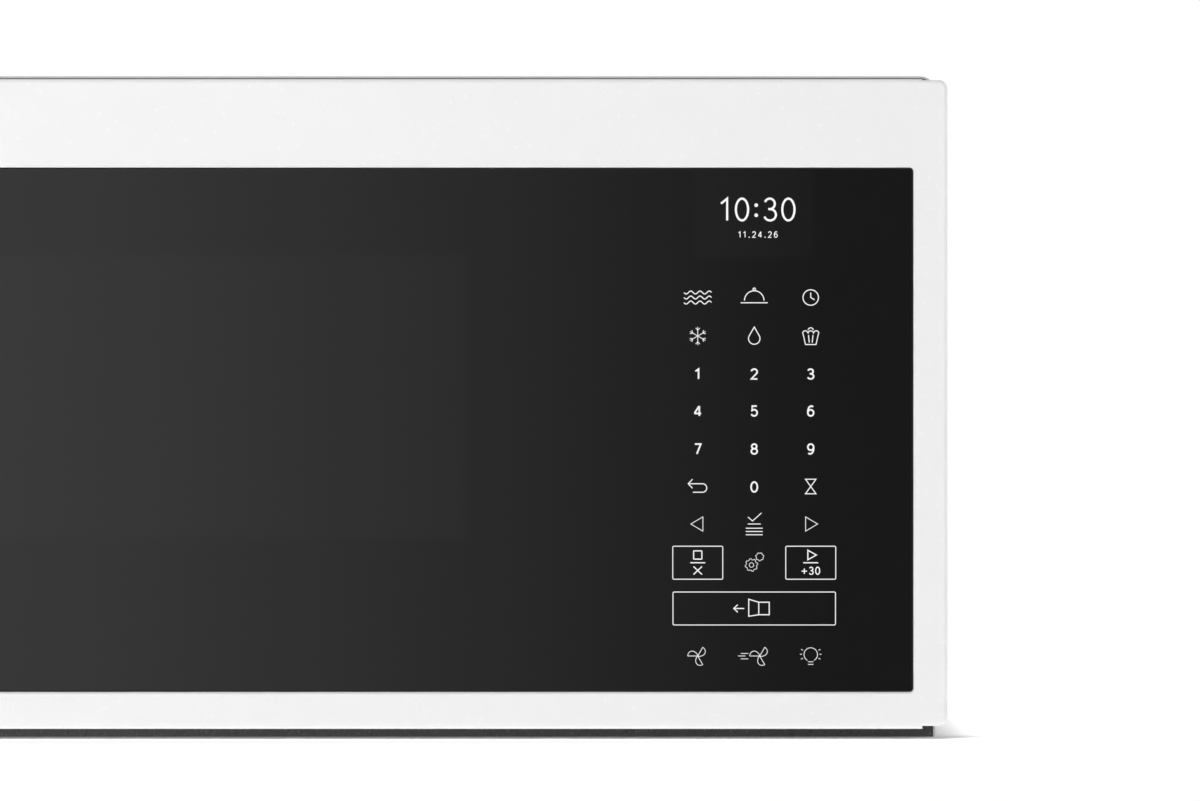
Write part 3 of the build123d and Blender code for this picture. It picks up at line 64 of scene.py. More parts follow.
print("frame loaded:", len(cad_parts), "nodes")


class Value:
    # One socket of a shader. An expression on values adds the Math nodes that work it out.
    def __init__(self, shader, socket):
        self.shader = shader
        self.socket = socket

    def __add__(self, other):
        return self.shader.math("ADD", self, other)

    def __radd__(self, other):
        return self.shader.math("ADD", other, self)

    def __sub__(self, other):
        return self.shader.math("SUBTRACT", self, other)

    def __rsub__(self, other):
        return self.shader.math("SUBTRACT", other, self)

    def __mul__(self, other):
        return self.shader.math("MULTIPLY", self, other)

    def __rmul__(self, other):
        return self.shader.math("MULTIPLY", other, self)

    def __truediv__(self, other):
        return self.shader.math("DIVIDE", self, other)

    def __pow__(self, other):
        return self.shader.math("POWER", self, other)

    def clip(self):
        # kept from 0 to 1
        return self.shader.node("ShaderNodeClamp", {}, {"Value": self})

    def span(self, ends):
        # ends[0] where it is 0, ends[1] where it is 1
        return self * (ends[1] - ends[0]) + ends[0]

    def rise(self, start, end):
        # 0 before start, 1 after end, smooth between them
        return self.shader.node("ShaderNodeMapRange", {"interpolation_type": "SMOOTHSTEP"},
                                {"Value": self, "From Min": start, "From Max": end})

    def between(self, low, high, soft):
        # 1 from low to high, with edges as wide as soft
        return self.rise(low - soft / 2, low + soft / 2) * (1 - self.rise(high - soft / 2, high + soft / 2))


class Shader:
    # A material with one Principled surface. Its patterns read the object's own coordinates, in metres.
    sockets = {"colour": "Base Color", "roughness": "Roughness", "metallic": "Metallic", "alpha": "Alpha",
               "glow": "Emission Color", "normal": "Normal"}

    def __init__(self, name, constants):
        self.material = bpy.data.materials.new(name)
        self.material.use_nodes = True
        self.tree = self.material.node_tree
        self.surface = self.tree.nodes["Principled BSDF"]
        for socket, value in constants.items():
            self.surface.inputs[socket].default_value = value
        self.place = self.node("ShaderNodeTexCoord", output="Object")

    def node(self, kind, settings=None, inputs=None, output=0):
        # one node of any kind: its settings, its inputs (values are linked, the rest is set), and one output
        made = self.tree.nodes.new(kind)
        for name, value in (settings or {}).items():
            setattr(made, name, value)
        for name, value in (inputs or {}).items():
            if isinstance(value, Value):
                self.tree.links.new(value.socket, made.inputs[name])
            else:
                made.inputs[name].default_value = value
        return Value(self, made.outputs[output])

    def math(self, operation, first, second=0.0):
        # one Math node on two values or numbers
        return self.node("ShaderNodeMath", {"operation": operation}, {0: first, 1: second})

    def mix(self, factor, low, high):
        # the colour low where the factor is 0, high where it is 1
        return self.node("ShaderNodeMix", {"data_type": "RGBA"}, {0: factor, 6: low, 7: high}, output=2)

    def along(self, axis):
        # X, Y or Z of the place
        return self.node("ShaderNodeSeparateXYZ", inputs={0: self.place}, output=axis)

    def stretched(self, scale):
        # the place, with each axis scaled by its own number
        return self.node("ShaderNodeMapping", inputs={"Vector": self.place, "Scale": scale})

    def noise(self, size, detail=2.0, place=None):
        # clouds about size mm across, from 0 to 1
        return self.node("ShaderNodeTexNoise", inputs={"Vector": place or self.place,
                                                       "Scale": 1 / (size * millimetre), "Detail": detail})

    def cells(self, size, output="Color"):
        # cells about size mm across: the colour of each, or the distance from its middle
        return self.node("ShaderNodeTexVoronoi",
                         inputs={"Vector": self.place, "Scale": 1 / (size * millimetre)}, output=output)

    def wave(self, direction, scale, distortion):
        # bands across one axis, from 0 to 1
        return self.node("ShaderNodeTexWave", {"bands_direction": direction},
                         {"Vector": self.place, "Scale": scale, "Distortion": distortion})

    def grey(self, colour):
        # a colour's brightness, from 0 to 1
        return self.node("ShaderNodeRGBToBW", inputs={0: colour})

    def bump(self, height, depth):
        # surface raised by height times depth, in mm
        return self.node("ShaderNodeBump", inputs={"Height": height, "Distance": depth * millimetre})

    def feed(self, **links):
        # varying values joined to the surface
        for name, value in links.items():
            self.tree.links.new(value.socket, self.surface.inputs[self.sockets[name]])
        return self.material


def rgb(red, green=None, blue=None):
    # a colour, or a grey where the first part stands alone
    return (red, red if green is None else green, red if blue is None else blue, 1.0)


def scaled(colour, factor):
    # each part times factor, 1 at most
    return (*(min(part * factor, 1.0) for part in colour[:3]), 1.0)


# camera, straight in front as in the photograph, in metres
cameraLook = {
    "centre": (0.241, 0.0024),  # X and height at which it looks straight at the door
    "fieldWidth": 0.480,        # of the door's front across the image
    "distance": 6.0,
    "sensor": 36.0,             # mm
    "clip": (0.1, 100.0),
}


def makeCamera(look):
    # lens = sensor x distance / field width, looking along +Y
    lens = bpy.data.cameras.new("camera")
    lens.sensor_width = look["sensor"]
    lens.lens = look["sensor"] * look["distance"] / look["fieldWidth"]
    lens.clip_start, lens.clip_end = look["clip"]
    camera = bpy.data.objects.new("camera", lens)
    camera.location = (look["centre"][0], doorLow.y - look["distance"], look["centre"][1])
    camera.rotation_euler = (np.pi / 2, 0, 0)
    bpy.context.scene.collection.objects.link(camera)
    bpy.context.scene.camera = camera


makeCamera(cameraLook)
print("camera placed")

# light, floor and backdrop, in metres and watts
lightLook = {
    "skyLevel": 0.50,               # what the object is lit by all round; the camera sees 1
    "floorColour": 0.86,
    "floorRoughness": 0.9,
    "floorLift": 0.05,              # the floor's own white to the camera, over what it reflects
    "floorGlow": 0.08,              # the floor's own white to the rays that light the object
    "floorSize": 60.0,
    "floorFade": (0.8, 1.6),        # distance from the middle over which the floor turns plain white
    "floorBehind": (0.02, 0.34),    # and Y over which it does so behind the object
    # place, point aimed at, side length, power
    "lamps": {
        "key": ((-1.2, -1.9, 0.1), (0.0, -0.4, 0.0), 0.9, 13.8),
        "fill": ((0.6, -8.0, 0.8), (0.1, -0.4, 0.0), 3.0, 22.0),
        "top": ((0.28, -0.75, 2.6), (0.28, -0.75, 0.0), 0.16, 50.0),
        "rear": ((0.8, 2.6, 1.8), (0.0, 0.0, 0.0), 1.6, 15.0),
    },
    # card behind the camera that only gloss sees: bright on the left, falling off to the right
    "cardPlace": -9.0,
    "cardSize": (16.0, 12.0),
    "cardRamp": (-0.33, 0.45),      # X where its even fall begins and ends
    "cardLevels": (0.96, 0.19),
}


def plane(name, corners, material):
    # one face that belongs to the stage and not to the part
    mesh = bpy.data.meshes.new(name)
    mesh.from_pydata(corners, [], [(0, 1, 2, 3)])
    made = bpy.data.objects.new(name, mesh)
    made.data.materials.append(material)
    bpy.context.scene.collection.objects.link(made)
    return made


def paleRays(shader):
    # 1 for camera, glossy and transmission rays, which see the white backdrop; 0 for rays that light the object
    kinds = [shader.node("ShaderNodeLightPath", output=name)
             for name in ("Is Camera Ray", "Is Glossy Ray", "Is Transmission Ray")]
    return (kinds[0] + kinds[1] + kinds[2]).clip()


def makeFloor(look):
    # paper that turns plain white away from the object: 1 - (1 - rise of the distance) (1 - rise of Y)
    shader = Shader("floor_paper", {"Base Color": rgb(look["floorColour"]), "Roughness": look["floorRoughness"],
                                    "Specular IOR Level": 0.0, "Emission Strength": 1.0})
    shader.feed(glow=shader.mix(paleRays(shader), rgb(look["floorGlow"]), rgb(look["floorLift"])))
    reach = (shader.along(0) ** 2 + shader.along(1) ** 2) ** 0.5
    near = (1 - reach.rise(*look["floorFade"])) * (1 - shader.along(1).rise(*look["floorBehind"]))
    paper = Value(shader, shader.surface.outputs[0])
    white = shader.node("ShaderNodeEmission", inputs={"Color": rgb(1.0)})
    joined = shader.node("ShaderNodeMixShader", inputs={0: 1 - near, 1: paper, 2: white})
    shader.tree.links.new(joined.socket, shader.tree.nodes["Material Output"].inputs["Surface"])
    size, height = look["floorSize"] / 2, cadBox[0].z
    corners = [(-size, -size, height), (size, -size, height), (size, size, height), (-size, size, height)]
    floor = plane("floor", corners, shader.material)
    floor.visible_glossy = False    # gloss sees the white sky and the card past the floor
    return floor


def makeCard(look):
    # glow falls evenly along X from the left level to the right one
    shader = Shader("card", {"Base Color": rgb(0.0), "Specular IOR Level": 0.0, "Emission Strength": 1.0})
    start, end = look["cardRamp"]
    left, right = look["cardLevels"]
    fall = ((shader.along(0) - start) / (end - start)).clip()
    shader.feed(glow=shader.mix(fall, rgb(left), rgb(right)))
    halfWidth, halfHeight = look["cardSize"][0] / 2, look["cardSize"][1] / 2
    y = look["cardPlace"]
    corners = [(halfWidth, y, -halfHeight), (-halfWidth, y, -halfHeight),
               (-halfWidth, y, halfHeight), (halfWidth, y, halfHeight)]
    card = plane("card", corners, shader.material)
    card.visible_camera = card.visible_diffuse = card.visible_shadow = card.visible_transmission = False


def makeSky(look):
    # white to the pale rays, and the sky's own level to the rest
    world = bpy.data.worlds.new("sky")
    world.use_nodes = True
    bpy.context.scene.world = world
    sky = Shader.__new__(Shader)            # the same node maths, on the world's tree
    sky.tree = world.node_tree
    background = sky.tree.nodes["Background"]
    level = paleRays(sky) * (1 - look["skyLevel"]) + look["skyLevel"]
    sky.tree.links.new(level.socket, background.inputs["Strength"])
    background.inputs["Color"].default_value = rgb(1.0)


def makeLamps(look, floor):
    # square lamps; the top one lights the floor alone, where the object casts its shadow
    for name, (place, target, size, power) in look["lamps"].items():
        light = bpy.data.lights.new(name, "AREA")
        light.size, light.energy = size, power
        lamp = bpy.data.objects.new(name, light)
        lamp.location = place
        lamp.rotation_euler = (Vector(target) - Vector(place)).to_track_quat("-Z", "Y").to_euler()
        lamp.visible_camera = lamp.visible_glossy = False      # gloss sees the card instead
        bpy.context.scene.collection.objects.link(lamp)
        if name == "top":
            lit = bpy.data.collections.new("lit_from_top")
            lit.objects.link(floor)
            lamp.light_linking.receiver_collection = lit


makeCard(lightLook)
makeSky(lightLook)
makeLamps(lightLook, makeFloor(lightLook))
bpy.context.scene.view_settings.view_transform = "Standard"
print("stage lit")

glassIndex = 1.5        # of refraction, of clear coats and of glass

# paints and moulded plastics: colour, spread of its brightness, grain size and depth in mm,
# roughness from and to, coat
coatingLooks = {
    "white_paint": (rgb(0.90), 0.005, 2.0, 0.0008, (0.26, 0.28), 0.25),
    "case_paint": (rgb(0.86), 0.015, 0.55, 0.030, (0.40, 0.48), 0.0),
    "dark_paint": (rgb(0.020, 0.020, 0.022), 0.10, 0.55, 0.035, (0.42, 0.52), 0.0),
    "black_plastic": (rgb(0.018, 0.018, 0.019), 0.12, 0.30, 0.018, (0.38, 0.48), 0.0),
    "grey_plastic": (rgb(0.075, 0.076, 0.080), 0.06, 0.30, 0.018, (0.40, 0.50), 0.0),
    "white_plastic": (rgb(0.78, 0.78, 0.765), 0.02, 0.35, 0.012, (0.34, 0.42), 0.0),
    "bush_plastic": (rgb(0.72, 0.70, 0.63), 0.03, 0.30, 0.008, (0.30, 0.36), 0.0),
}

coatingShared = {
    "cloud": 60.0,      # mm across
    "cloudShare": 0.6,  # of the tone, the rest being the grain's
    "coatRoughness": 0.08,
}


def makeCoating(name, colour, spread, grain, depth, gloss, coat, shared=coatingShared):
    # colour and gloss drift in slow clouds, and a fine grain raises the surface
    shader = Shader(name, {"Coat Weight": coat, "Coat Roughness": shared["coatRoughness"], "IOR": glassIndex})
    slow = shader.noise(shared["cloud"], 3.0)
    fine = shader.noise(grain)
    tone = (slow * shared["cloudShare"] + fine * (1 - shared["cloudShare"])).clip()
    return shader.feed(
        colour=shader.mix(tone, scaled(colour, 1 - spread), scaled(colour, 1 + spread)),
        roughness=fine.span(gloss),
        normal=shader.bump(fine, depth))


# bare metals: colour, roughness from and to, brushing as the scale of X, Y and Z, crystal size in mm (0 for none)
metalLooks = {
    "galvanised": (rgb(0.60, 0.61, 0.62), (0.28, 0.46), (1, 1, 1), 9.0),
    "screw_steel": (rgb(0.62, 0.62, 0.60), (0.24, 0.36), (1, 1, 1), 0.0),
    "spring_steel": (rgb(0.50, 0.50, 0.51), (0.22, 0.32), (1, 1, 12), 0.0),
    "can_aluminium": (rgb(0.76, 0.77, 0.78), (0.20, 0.34), (1, 1, 0.06), 0.0),
    "filter_strands": (rgb(0.74, 0.75, 0.76), (0.22, 0.34), (1, 1, 1), 0.0),
}

metalShared = {
    "streak": 0.6,          # mm across, as are the clouds over the crystals
    "cloud": 4.0,
    "crystalShare": 0.75,   # of the tone, the rest being the clouds'
    "tones": (0.86, 1.08),
    "depth": 0.006,
}


def makeMetal(name, colour, gloss, brushing, crystal, shared=metalShared):
    # fine streaks drawn out along one axis, over zinc crystals where the sheet has them
    shader = Shader(name, {"Metallic": 1.0})
    streaks = shader.noise(shared["streak"], 3.0, shader.stretched(brushing))
    tone = streaks
    if crystal:
        patch = shader.grey(shader.cells(crystal)) * shared["crystalShare"]
        tone = (patch + shader.noise(shared["cloud"], 3.0) * (1 - shared["crystalShare"])).clip()
    return shader.feed(
        colour=shader.mix(tone, *(scaled(colour, factor) for factor in shared["tones"])),
        roughness=tone.span(gloss),
        normal=shader.bump(streaks, shared["depth"]))


# clear glass: colour, roughness
clearLooks = {
    "clear_glass": (rgb(0.96, 0.98, 0.97), 0.02),
    "tray_glass": (rgb(0.90, 0.96, 0.94), 0.03),
    "frosted_glass": (rgb(0.96, 0.96, 0.94), 0.38),
}

clearShared = {
    "smear": 30.0,  # mm across, as is the ripple
    "dim": 0.985,
    "rougher": 0.03,
    "ripple": 2.0,
    "depth": 0.002,
}


def makeClear(name, colour, roughness, shared=clearShared):
    # see-through, a little dimmer and rougher where it is smeared
    shader = Shader(name, {"Transmission Weight": 1.0, "IOR": glassIndex})
    smear = shader.noise(shared["smear"], 4.0)
    return shader.feed(
        colour=shader.mix(smear, scaled(colour, shared["dim"]), colour),
        roughness=smear * shared["rougher"] + roughness,
        normal=shader.bump(shader.noise(shared["ripple"]), shared["depth"]))


glassLook = {
    "print": rgb(0.0022, 0.0022, 0.0024),
    # the window's unprinted glass, made lighter by painted light: the front-lit screen behind it, seen through
    # the glass
    "window": rgb(0.0046, 0.0046, 0.0048),
    "display": rgb(0.0044, 0.0044, 0.0047),
    "windowX": (-0.327, 0.1874),        # metres
    "windowZ": (-0.0526, 0.0604),
    "displayX": (0.2790, 0.3262),
    "displayDepth": (0.0364, 0.0716),   # below the door's top
    "soft": 0.0030,                     # over which their edges fade
    "cloud": 50.0,                      # mm across, as is the ripple
    "roughness": (0.035, 0.055),
    "ripple": 0.8,
    "depth": 0.0002,
}


def makeDoorGlass(look):
    # print-black glass, a shade lighter over the display, and lighter over the window, where painted light stands
    # for the lit screen behind it
    shader = Shader("door_glass_print", {"IOR": glassIndex})
    x, z, soft = shader.along(0), shader.along(2), look["soft"]
    window = x.between(*look["windowX"], soft) * z.between(*look["windowZ"], soft)
    above, below = look["displayDepth"]
    display = x.between(*look["displayX"], soft) * z.between(doorHigh.z - below, doorHigh.z - above, soft)
    return shader.feed(
        colour=shader.mix(display, shader.mix(window, look["print"], look["window"]), look["display"]),
        roughness=shader.noise(look["cloud"], 3.0).span(look["roughness"]),
        normal=shader.bump(shader.noise(look["ripple"]), look["depth"]))


# vitreous enamels: ground, light fleck, dark fleck
enamelLooks = {
    "cavity_enamel": (rgb(0.42, 0.425, 0.43), rgb(0.62), rgb(0.24)),
    # the front plate's charcoal enamel, made darker to give the shade seen in the strip under the door and the
    # line above it: its own colour and painted shade
    "front_enamel_and_shade": (rgb(0.075, 0.076, 0.078), rgb(0.17), rgb(0.03)),
}

enamelShared = {
    "coat": {"Coat Weight": 0.5, "Coat Roughness": 0.06},
    "fleck": 0.9,               # mm across, as are the clouds and the ripple
    "lightFrom": (0.64, 0.70),  # noise over which the flecks turn light, and under which dark
    "darkFrom": (0.30, 0.36),
    "cloud": 20.0,
    "roughness": (0.24, 0.32),
    "ripple": 4.0,
    "depth": 0.02,
}


def makeEnamel(name, ground, lightFleck, darkFleck, shared=enamelShared):
    # small flecks where one noise is high, for the light ones, or low, for the dark ones
    shader = Shader(name, shared["coat"])
    flecks = shader.noise(shared["fleck"], 1.0)
    light, dark = flecks.rise(*shared["lightFrom"]), 1 - flecks.rise(*shared["darkFrom"])
    return shader.feed(
        colour=shader.mix(dark, shader.mix(light, ground, lightFleck), darkFleck),
        roughness=shader.noise(shared["cloud"]).span(shared["roughness"]),
        normal=shader.bump(shader.noise(shared["ripple"]), shared["depth"]))


micaLook = {
    "flake": 4.0,       # mm across, as is the grain
    "grain": 1.0,
    "flakeShare": 0.6,  # of the tone, the rest being the grain's
    "colours": (rgb(0.52, 0.46, 0.36), rgb(0.80, 0.75, 0.64)),
    "roughness": (0.35, 0.65),
    "depth": 0.05,
}


def makeMica(look):
    # pressed flakes, each of its own tone, with a fine grain over them
    shader = Shader("mica_sheet", {})
    flakes = shader.grey(shader.cells(look["flake"]))
    grain = shader.noise(look["grain"], 3.0)
    tone = (flakes * look["flakeShare"] + grain * (1 - look["flakeShare"])).clip()
    return shader.feed(
        colour=shader.mix(tone, *look["colours"]),
        roughness=flakes.span(look["roughness"]),
        normal=shader.bump(tone, look["depth"]))


woundLook = {
    "soft": 0.0004,                 # metres over which the coil's ends fade
    "turns": ("Z", 260.0, 0.4),     # direction, scale and unevenness of the bands
    "sheets": ("X", 320.0, 0.6),
    "copper": (rgb(0.22, 0.07, 0.025), rgb(0.62, 0.24, 0.09)),
    "steel": (rgb(0.05, 0.048, 0.046), rgb(0.16, 0.155, 0.15)),
    "metallic": (0.5, 0.8),         # of the steel and of the copper
    "cloud": 3.0,                   # mm across
    "roughness": (0.32, 0.47),
    "depth": 0.12,
}


def makeWound(name, bottom, top, look=woundLook):
    # varnished copper windings between two heights, laminated steel elsewhere
    shader = Shader(name, {})
    coil = shader.along(2).between(bottom, top, look["soft"])
    turns, sheets = shader.wave(*look["turns"]), shader.wave(*look["sheets"])
    steel, copper = shader.mix(sheets, *look["steel"]), shader.mix(turns, *look["copper"])
    return shader.feed(
        colour=shader.mix(coil, steel, copper),
        metallic=coil.span(look["metallic"]),
        roughness=shader.noise(look["cloud"]).span(look["roughness"]),
        normal=shader.bump(turns * coil + sheets * (1 - coil), look["depth"]))


boardLook = {
    "soft": 0.0001,     # metres over which the faces' edges fade
    "layout": {"offset": 0.37, "offset_frequency": 3},
    "tracks": {"Scale": 95.0, "Mortar Size": 0.05,
               "Color1": rgb(0.0), "Color2": rgb(0.0), "Mortar": rgb(1.0)},
    "laminate": (rgb(0.012, 0.11, 0.055), rgb(0.035, 0.22, 0.10)),
    "part": 11.0,       # mm across, as are the clouds
    "parts": (rgb(0.012), rgb(0.16, 0.15, 0.13)),
    "cloud": 4.0,
    "roughness": (0.3, 0.5),
    "depth": 0.03,
}


def makeBoard(name, normal, back, front, look=boardLook):
    # green laminate with tinned tracks between two places along the board's normal, dark parts elsewhere
    shader = Shader(name, {})
    flat = shader.along(normal).between(back, front, look["soft"])
    across, up = [shader.along(axis) for axis in range(3) if axis != normal]
    plan = shader.node("ShaderNodeCombineXYZ", inputs={0: across, 1: up})
    tracks = shader.grey(shader.node("ShaderNodeTexBrick", look["layout"], {"Vector": plan, **look["tracks"]}))
    part = shader.grey(shader.cells(look["part"]))
    return shader.feed(
        colour=shader.mix(flat, shader.mix(part, *look["parts"]), shader.mix(tracks, *look["laminate"])),
        roughness=shader.noise(look["cloud"]).span(look["roughness"]),
        normal=shader.bump(tracks, look["depth"]))


screenLook = {
    "pitch": 2.1,           # mm from hole to hole
    "turn": 0.7071,         # cosine of the 45 degrees by which their rows are turned
    "hole": (0.28, 0.34),   # radii over which the edge clears, as shares of the pitch
    "metal": rgb(0.060, 0.060, 0.063),
    "tones": (0.8, 1.2),
    "metallic": 0.6,
    "cloud": 3.0,           # mm across
    "roughness": (0.35, 0.45),
}


def makeScreen(look):
    # dark sheet, clear inside the holes, which stand in rows along x + z and x - z
    shader = Shader("screen_metal", {"Metallic": look["metallic"]})
    x, z, turn = shader.along(0), shader.along(2), look["turn"]
    turned = shader.node("ShaderNodeCombineXYZ", inputs={0: (x + z) * turn, 1: (x - z) * turn})
    away = shader.node("ShaderNodeTexVoronoi", {"voronoi_dimensions": "2D"},
                       {"Vector": turned, "Scale": 1 / (look["pitch"] * millimetre), "Randomness": 0.0},
                       "Distance")
    tone = shader.noise(look["cloud"])
    return shader.feed(
        colour=shader.mix(tone, *(scaled(look["metal"], factor) for factor in look["tones"])),
        roughness=tone.span(look["roughness"]),
        alpha=away.rise(*look["hole"]))


filterLook = {
    "panRim": (9.1, 8.0),           # mm from the node's box to the pan, in X and Y
    "soft": 0.0002,                 # metres over which the pan's edge fades
    "brushing": (0.08, 1, 1),
    "streak": 0.6,                  # mm across
    "frame": (rgb(0.60, 0.61, 0.62), rgb(0.74, 0.75, 0.76)),
    # painted shade: the dark of the pan's depth, seen between the strands
    "pan": rgb(0.085, 0.086, 0.088),
    "roughness": (0.26, 0.40, 0.25),    # from and to on the frame, and how much more in the pan
    "depth": 0.006,
    "pitch": 3.3,                   # mm from strand to strand
    "width": 0.75,
    "slant": 27.0,                  # degrees of the strands from X
    "layers": ((0.30, 0.80, 1), (0.70, 1.25, -1)),  # mm under the outer face, from and to, and the slant's way
    "pocket": (15.0, 11.0, 27.0),   # cut out round the pull: half width, and from and to behind the front edge
    "gap": 0.05,                    # from the strands' ends to the pan's rim
    "shortest": 1.0,                # strand kept
}


def makeFilterPan(name, node, look=filterLook):
    # aluminium frame, with painted shade between the strands where the pan lies deeper than its rim
    shader = Shader(name, {"Metallic": 1.0})
    (lowX, lowY, _), (highX, highY, _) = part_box(node)
    rimX, rimY = (rim * millimetre for rim in look["panRim"])
    shadedDeep = shader.along(0).between(lowX + rimX, highX - rimX, look["soft"])
    shadedDeep = shadedDeep * shader.along(1).between(lowY + rimY, highY - rimY, look["soft"])
    streaks = shader.noise(look["streak"], 3.0, shader.stretched(look["brushing"]))
    low, high, more = look["roughness"]
    return shader.feed(
        colour=shader.mix(shadedDeep, shader.mix(streaks, *look["frame"]), look["pan"]),
        roughness=streaks * (high - low) + shadedDeep * more + low,
        normal=shader.bump(streaks, look["depth"]))


carbonLook = {
    "grain": 2.2,
    # grain middle, then painted shade in the crevices
    "colours": (rgb(0.035), rgb(0.006)),
    "cloud": 2.0,   # mm across, as is the grain
    "roughness": (0.6, 0.8),
    "depth": 0.6,
}


def makeCarbon(look):
    # round grains, lower away from their middles, with painted shade darkening the crevices between them
    shader = Shader("carbon_pad", {})
    away = shader.cells(look["grain"], "Distance")
    return shader.feed(
        colour=shader.mix(away, *look["colours"]),
        roughness=shader.noise(look["cloud"]).span(look["roughness"]),
        normal=shader.bump(1 - away, look["depth"]))


def middleBand(node, low, high):
    # heights at two shares of a node's height
    bottom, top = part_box(node)
    return bottom.z + (top.z - bottom.z) * low, bottom.z + (top.z - bottom.z) * high


finishes = {name: makeCoating(name, *look) for name, look in coatingLooks.items()}
finishes.update({name: makeMetal(name, *look) for name, look in metalLooks.items()})
finishes.update({name: makeClear(name, *look) for name, look in clearLooks.items()})
finishes.update({
    "black_glass": makeDoorGlass(glassLook),
    "screen_metal": makeScreen(screenLook),
    "cavity_enamel": makeEnamel("cavity_enamel", *enamelLooks["cavity_enamel"]),
    "mica": makeMica(micaLook),
    "carbon": makeCarbon(carbonLook),
})

# finishes of single nodes: windings by shares of the height, boards by normal and the places of their two faces
ownFinishes = {
    "grease_filter_left": makeFilterPan("filter_pan_left", "grease_filter_left"),
    "grease_filter_right": makeFilterPan("filter_pan_right", "grease_filter_right"),
    # charcoal enamel dark enough to paint the shade under and over the door
    "front_frame": makeEnamel("front_enamel_and_shade", *enamelLooks["front_enamel_and_shade"]),
    "transformer": makeWound("transformer_iron", *middleBand("transformer", 0.30, 0.78)),
    "cooling_fan_motor": makeWound("fan_motor_iron", *middleBand("cooling_fan_motor", 0.55, 0.95)),
    "control_board": makeBoard("control_laminate", 1, -0.4521, -0.4503),
    "touch_panel": makeBoard("touch_laminate", 1, -0.4635, -0.4590),
    "line_filter_board": makeBoard("filter_laminate", 0, 0.3635, 0.3653),
}
print("finishes written")


def finishNodes():
    # each slot's finish: the node's own, or else the one that the slot is named after
    for name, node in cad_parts.items():
        for slot in node.material_slots:
            slot.material = ownFinishes.get(name) or finishes[slot.material.name.split(".")[0]]


finishNodes()
print("nodes finished")


def gridFaces(rows, columns, closeRows, closeColumns):
    # quads of a grid of points, row by row, joined round where it is closed
    row, column = np.meshgrid(np.arange(rows - (not closeRows)), np.arange(columns - (not closeColumns)),
                              indexing="ij")
    below, right = (row + 1) % rows, (column + 1) % columns
    corners = [row * columns + column, below * columns + column, below * columns + right, row * columns + right]
    return np.stack(corners, -1).reshape(-1, 4)


def meshPiece(name, parts, material):
    # one object from a list of (points, faces), each part's faces moved on by the points before it
    points, faces, count = [], [], 0
    for partPoints, partFaces in parts:
        points.append(np.asarray(partPoints, float).reshape(-1, 3))
        faces += [tuple(int(corner) + count for corner in face) for face in partFaces]
        count += len(points[-1])
    mesh = bpy.data.meshes.new(name)
    mesh.from_pydata(np.concatenate(points).tolist(), [], faces)
    mesh.update()
    piece = bpy.data.objects.new(name, mesh)
    piece.data.materials.append(material)
    bpy.context.scene.collection.objects.link(piece)
    return piece


mitreFloor = 0.8        # least squared sum of two normals, which keeps the mitres of sharp corners short


def bandEdges(path, width, closed):
    # both edges of a band: each point moved half a width to either side, along the mitre of its two runs
    ahead = np.roll(path, -1, 0) - path
    behind = path - np.roll(path, 1, 0)
    if not closed:
        ahead[-1], behind[0] = behind[-1], ahead[0]
    turned = [np.stack([-run[:, 1], run[:, 0]], 1) / np.linalg.norm(run, axis=1, keepdims=True)
              for run in (behind, ahead)]
    mitre = turned[0] + turned[1]
    mitre *= width / np.maximum((mitre ** 2).sum(1, keepdims=True), mitreFloor)
    return path + mitre, path - mitre


def band(path, width, front, back, closed=False):
    # flat bar of rectangular section along a path in X and Z, between the depths front and back
    path = np.asarray(path, float)
    left, right = bandEdges(path, width, closed)
    section = np.empty((len(path), 4, 3))
    for column, (edge, depth) in enumerate(((left, front), (left, back), (right, back), (right, front))):
        section[:, column, 0], section[:, column, 1], section[:, column, 2] = edge[:, 0], depth, edge[:, 1]
    faces = gridFaces(len(path), 4, closed, True).tolist()
    if not closed:
        last = 4 * (len(path) - 1)
        faces += [[0, 1, 2, 3], [last + 3, last + 2, last + 1, last]]
    return section, faces


def arc(middle, radius, start, end, steps=20):
    # middle + radius (cos, sin) of angles from start to end, in degrees; radius may be a pair
    angle = np.radians(np.linspace(start, end, steps))
    across, up = radius if isinstance(radius, tuple) else (radius, radius)
    return np.stack([middle[0] + across * np.cos(angle), middle[1] + up * np.sin(angle)], 1)


def ring(middle, radius, steps=32):
    # a whole turn, its first point not repeated
    return arc(middle, radius, 0, 360 - 360 / steps, steps)


def turnPath(path, angle):
    # a path turned about its origin, in degrees
    cosine, sine = np.cos(np.radians(angle)), np.sin(np.radians(angle))
    return np.asarray(path, float) @ np.array([[cosine, sine], [-sine, cosine]])


def strandRuns(low, high, pocket, angle, pitch, shortest):
    # parallel lines over a rectangle, cut to it and on both sides of a pocket: starts and ends, in mm
    run = np.array([np.cos(np.radians(angle)), np.sin(np.radians(angle))])
    across = np.array([-run[1], run[0]])
    reach = np.array([[x, y] for x in (low[0], high[0]) for y in (low[1], high[1])]) @ across
    feet = np.arange(reach.min() + pitch / 2, reach.max(), pitch)[:, None] * across

    def crossing(small, large):
        # distances along each line at which it enters and leaves a rectangle
        ends = np.sort(np.stack([(small - feet) / run, (large - feet) / run]), 0)
        return ends[0].max(1), ends[1].min(1)

    enter, leave = crossing(np.array(low), np.array(high))
    near, far = crossing(np.array(pocket[0]), np.array(pocket[1]))
    met = far > near
    starts = np.concatenate([enter, far[met]])
    ends = np.concatenate([np.where(met, near, leave), leave[met]])
    feet = np.concatenate([feet, feet[met]])
    kept = ends - starts > shortest
    return (feet + starts[:, None] * run)[kept], (feet + ends[:, None] * run)[kept]


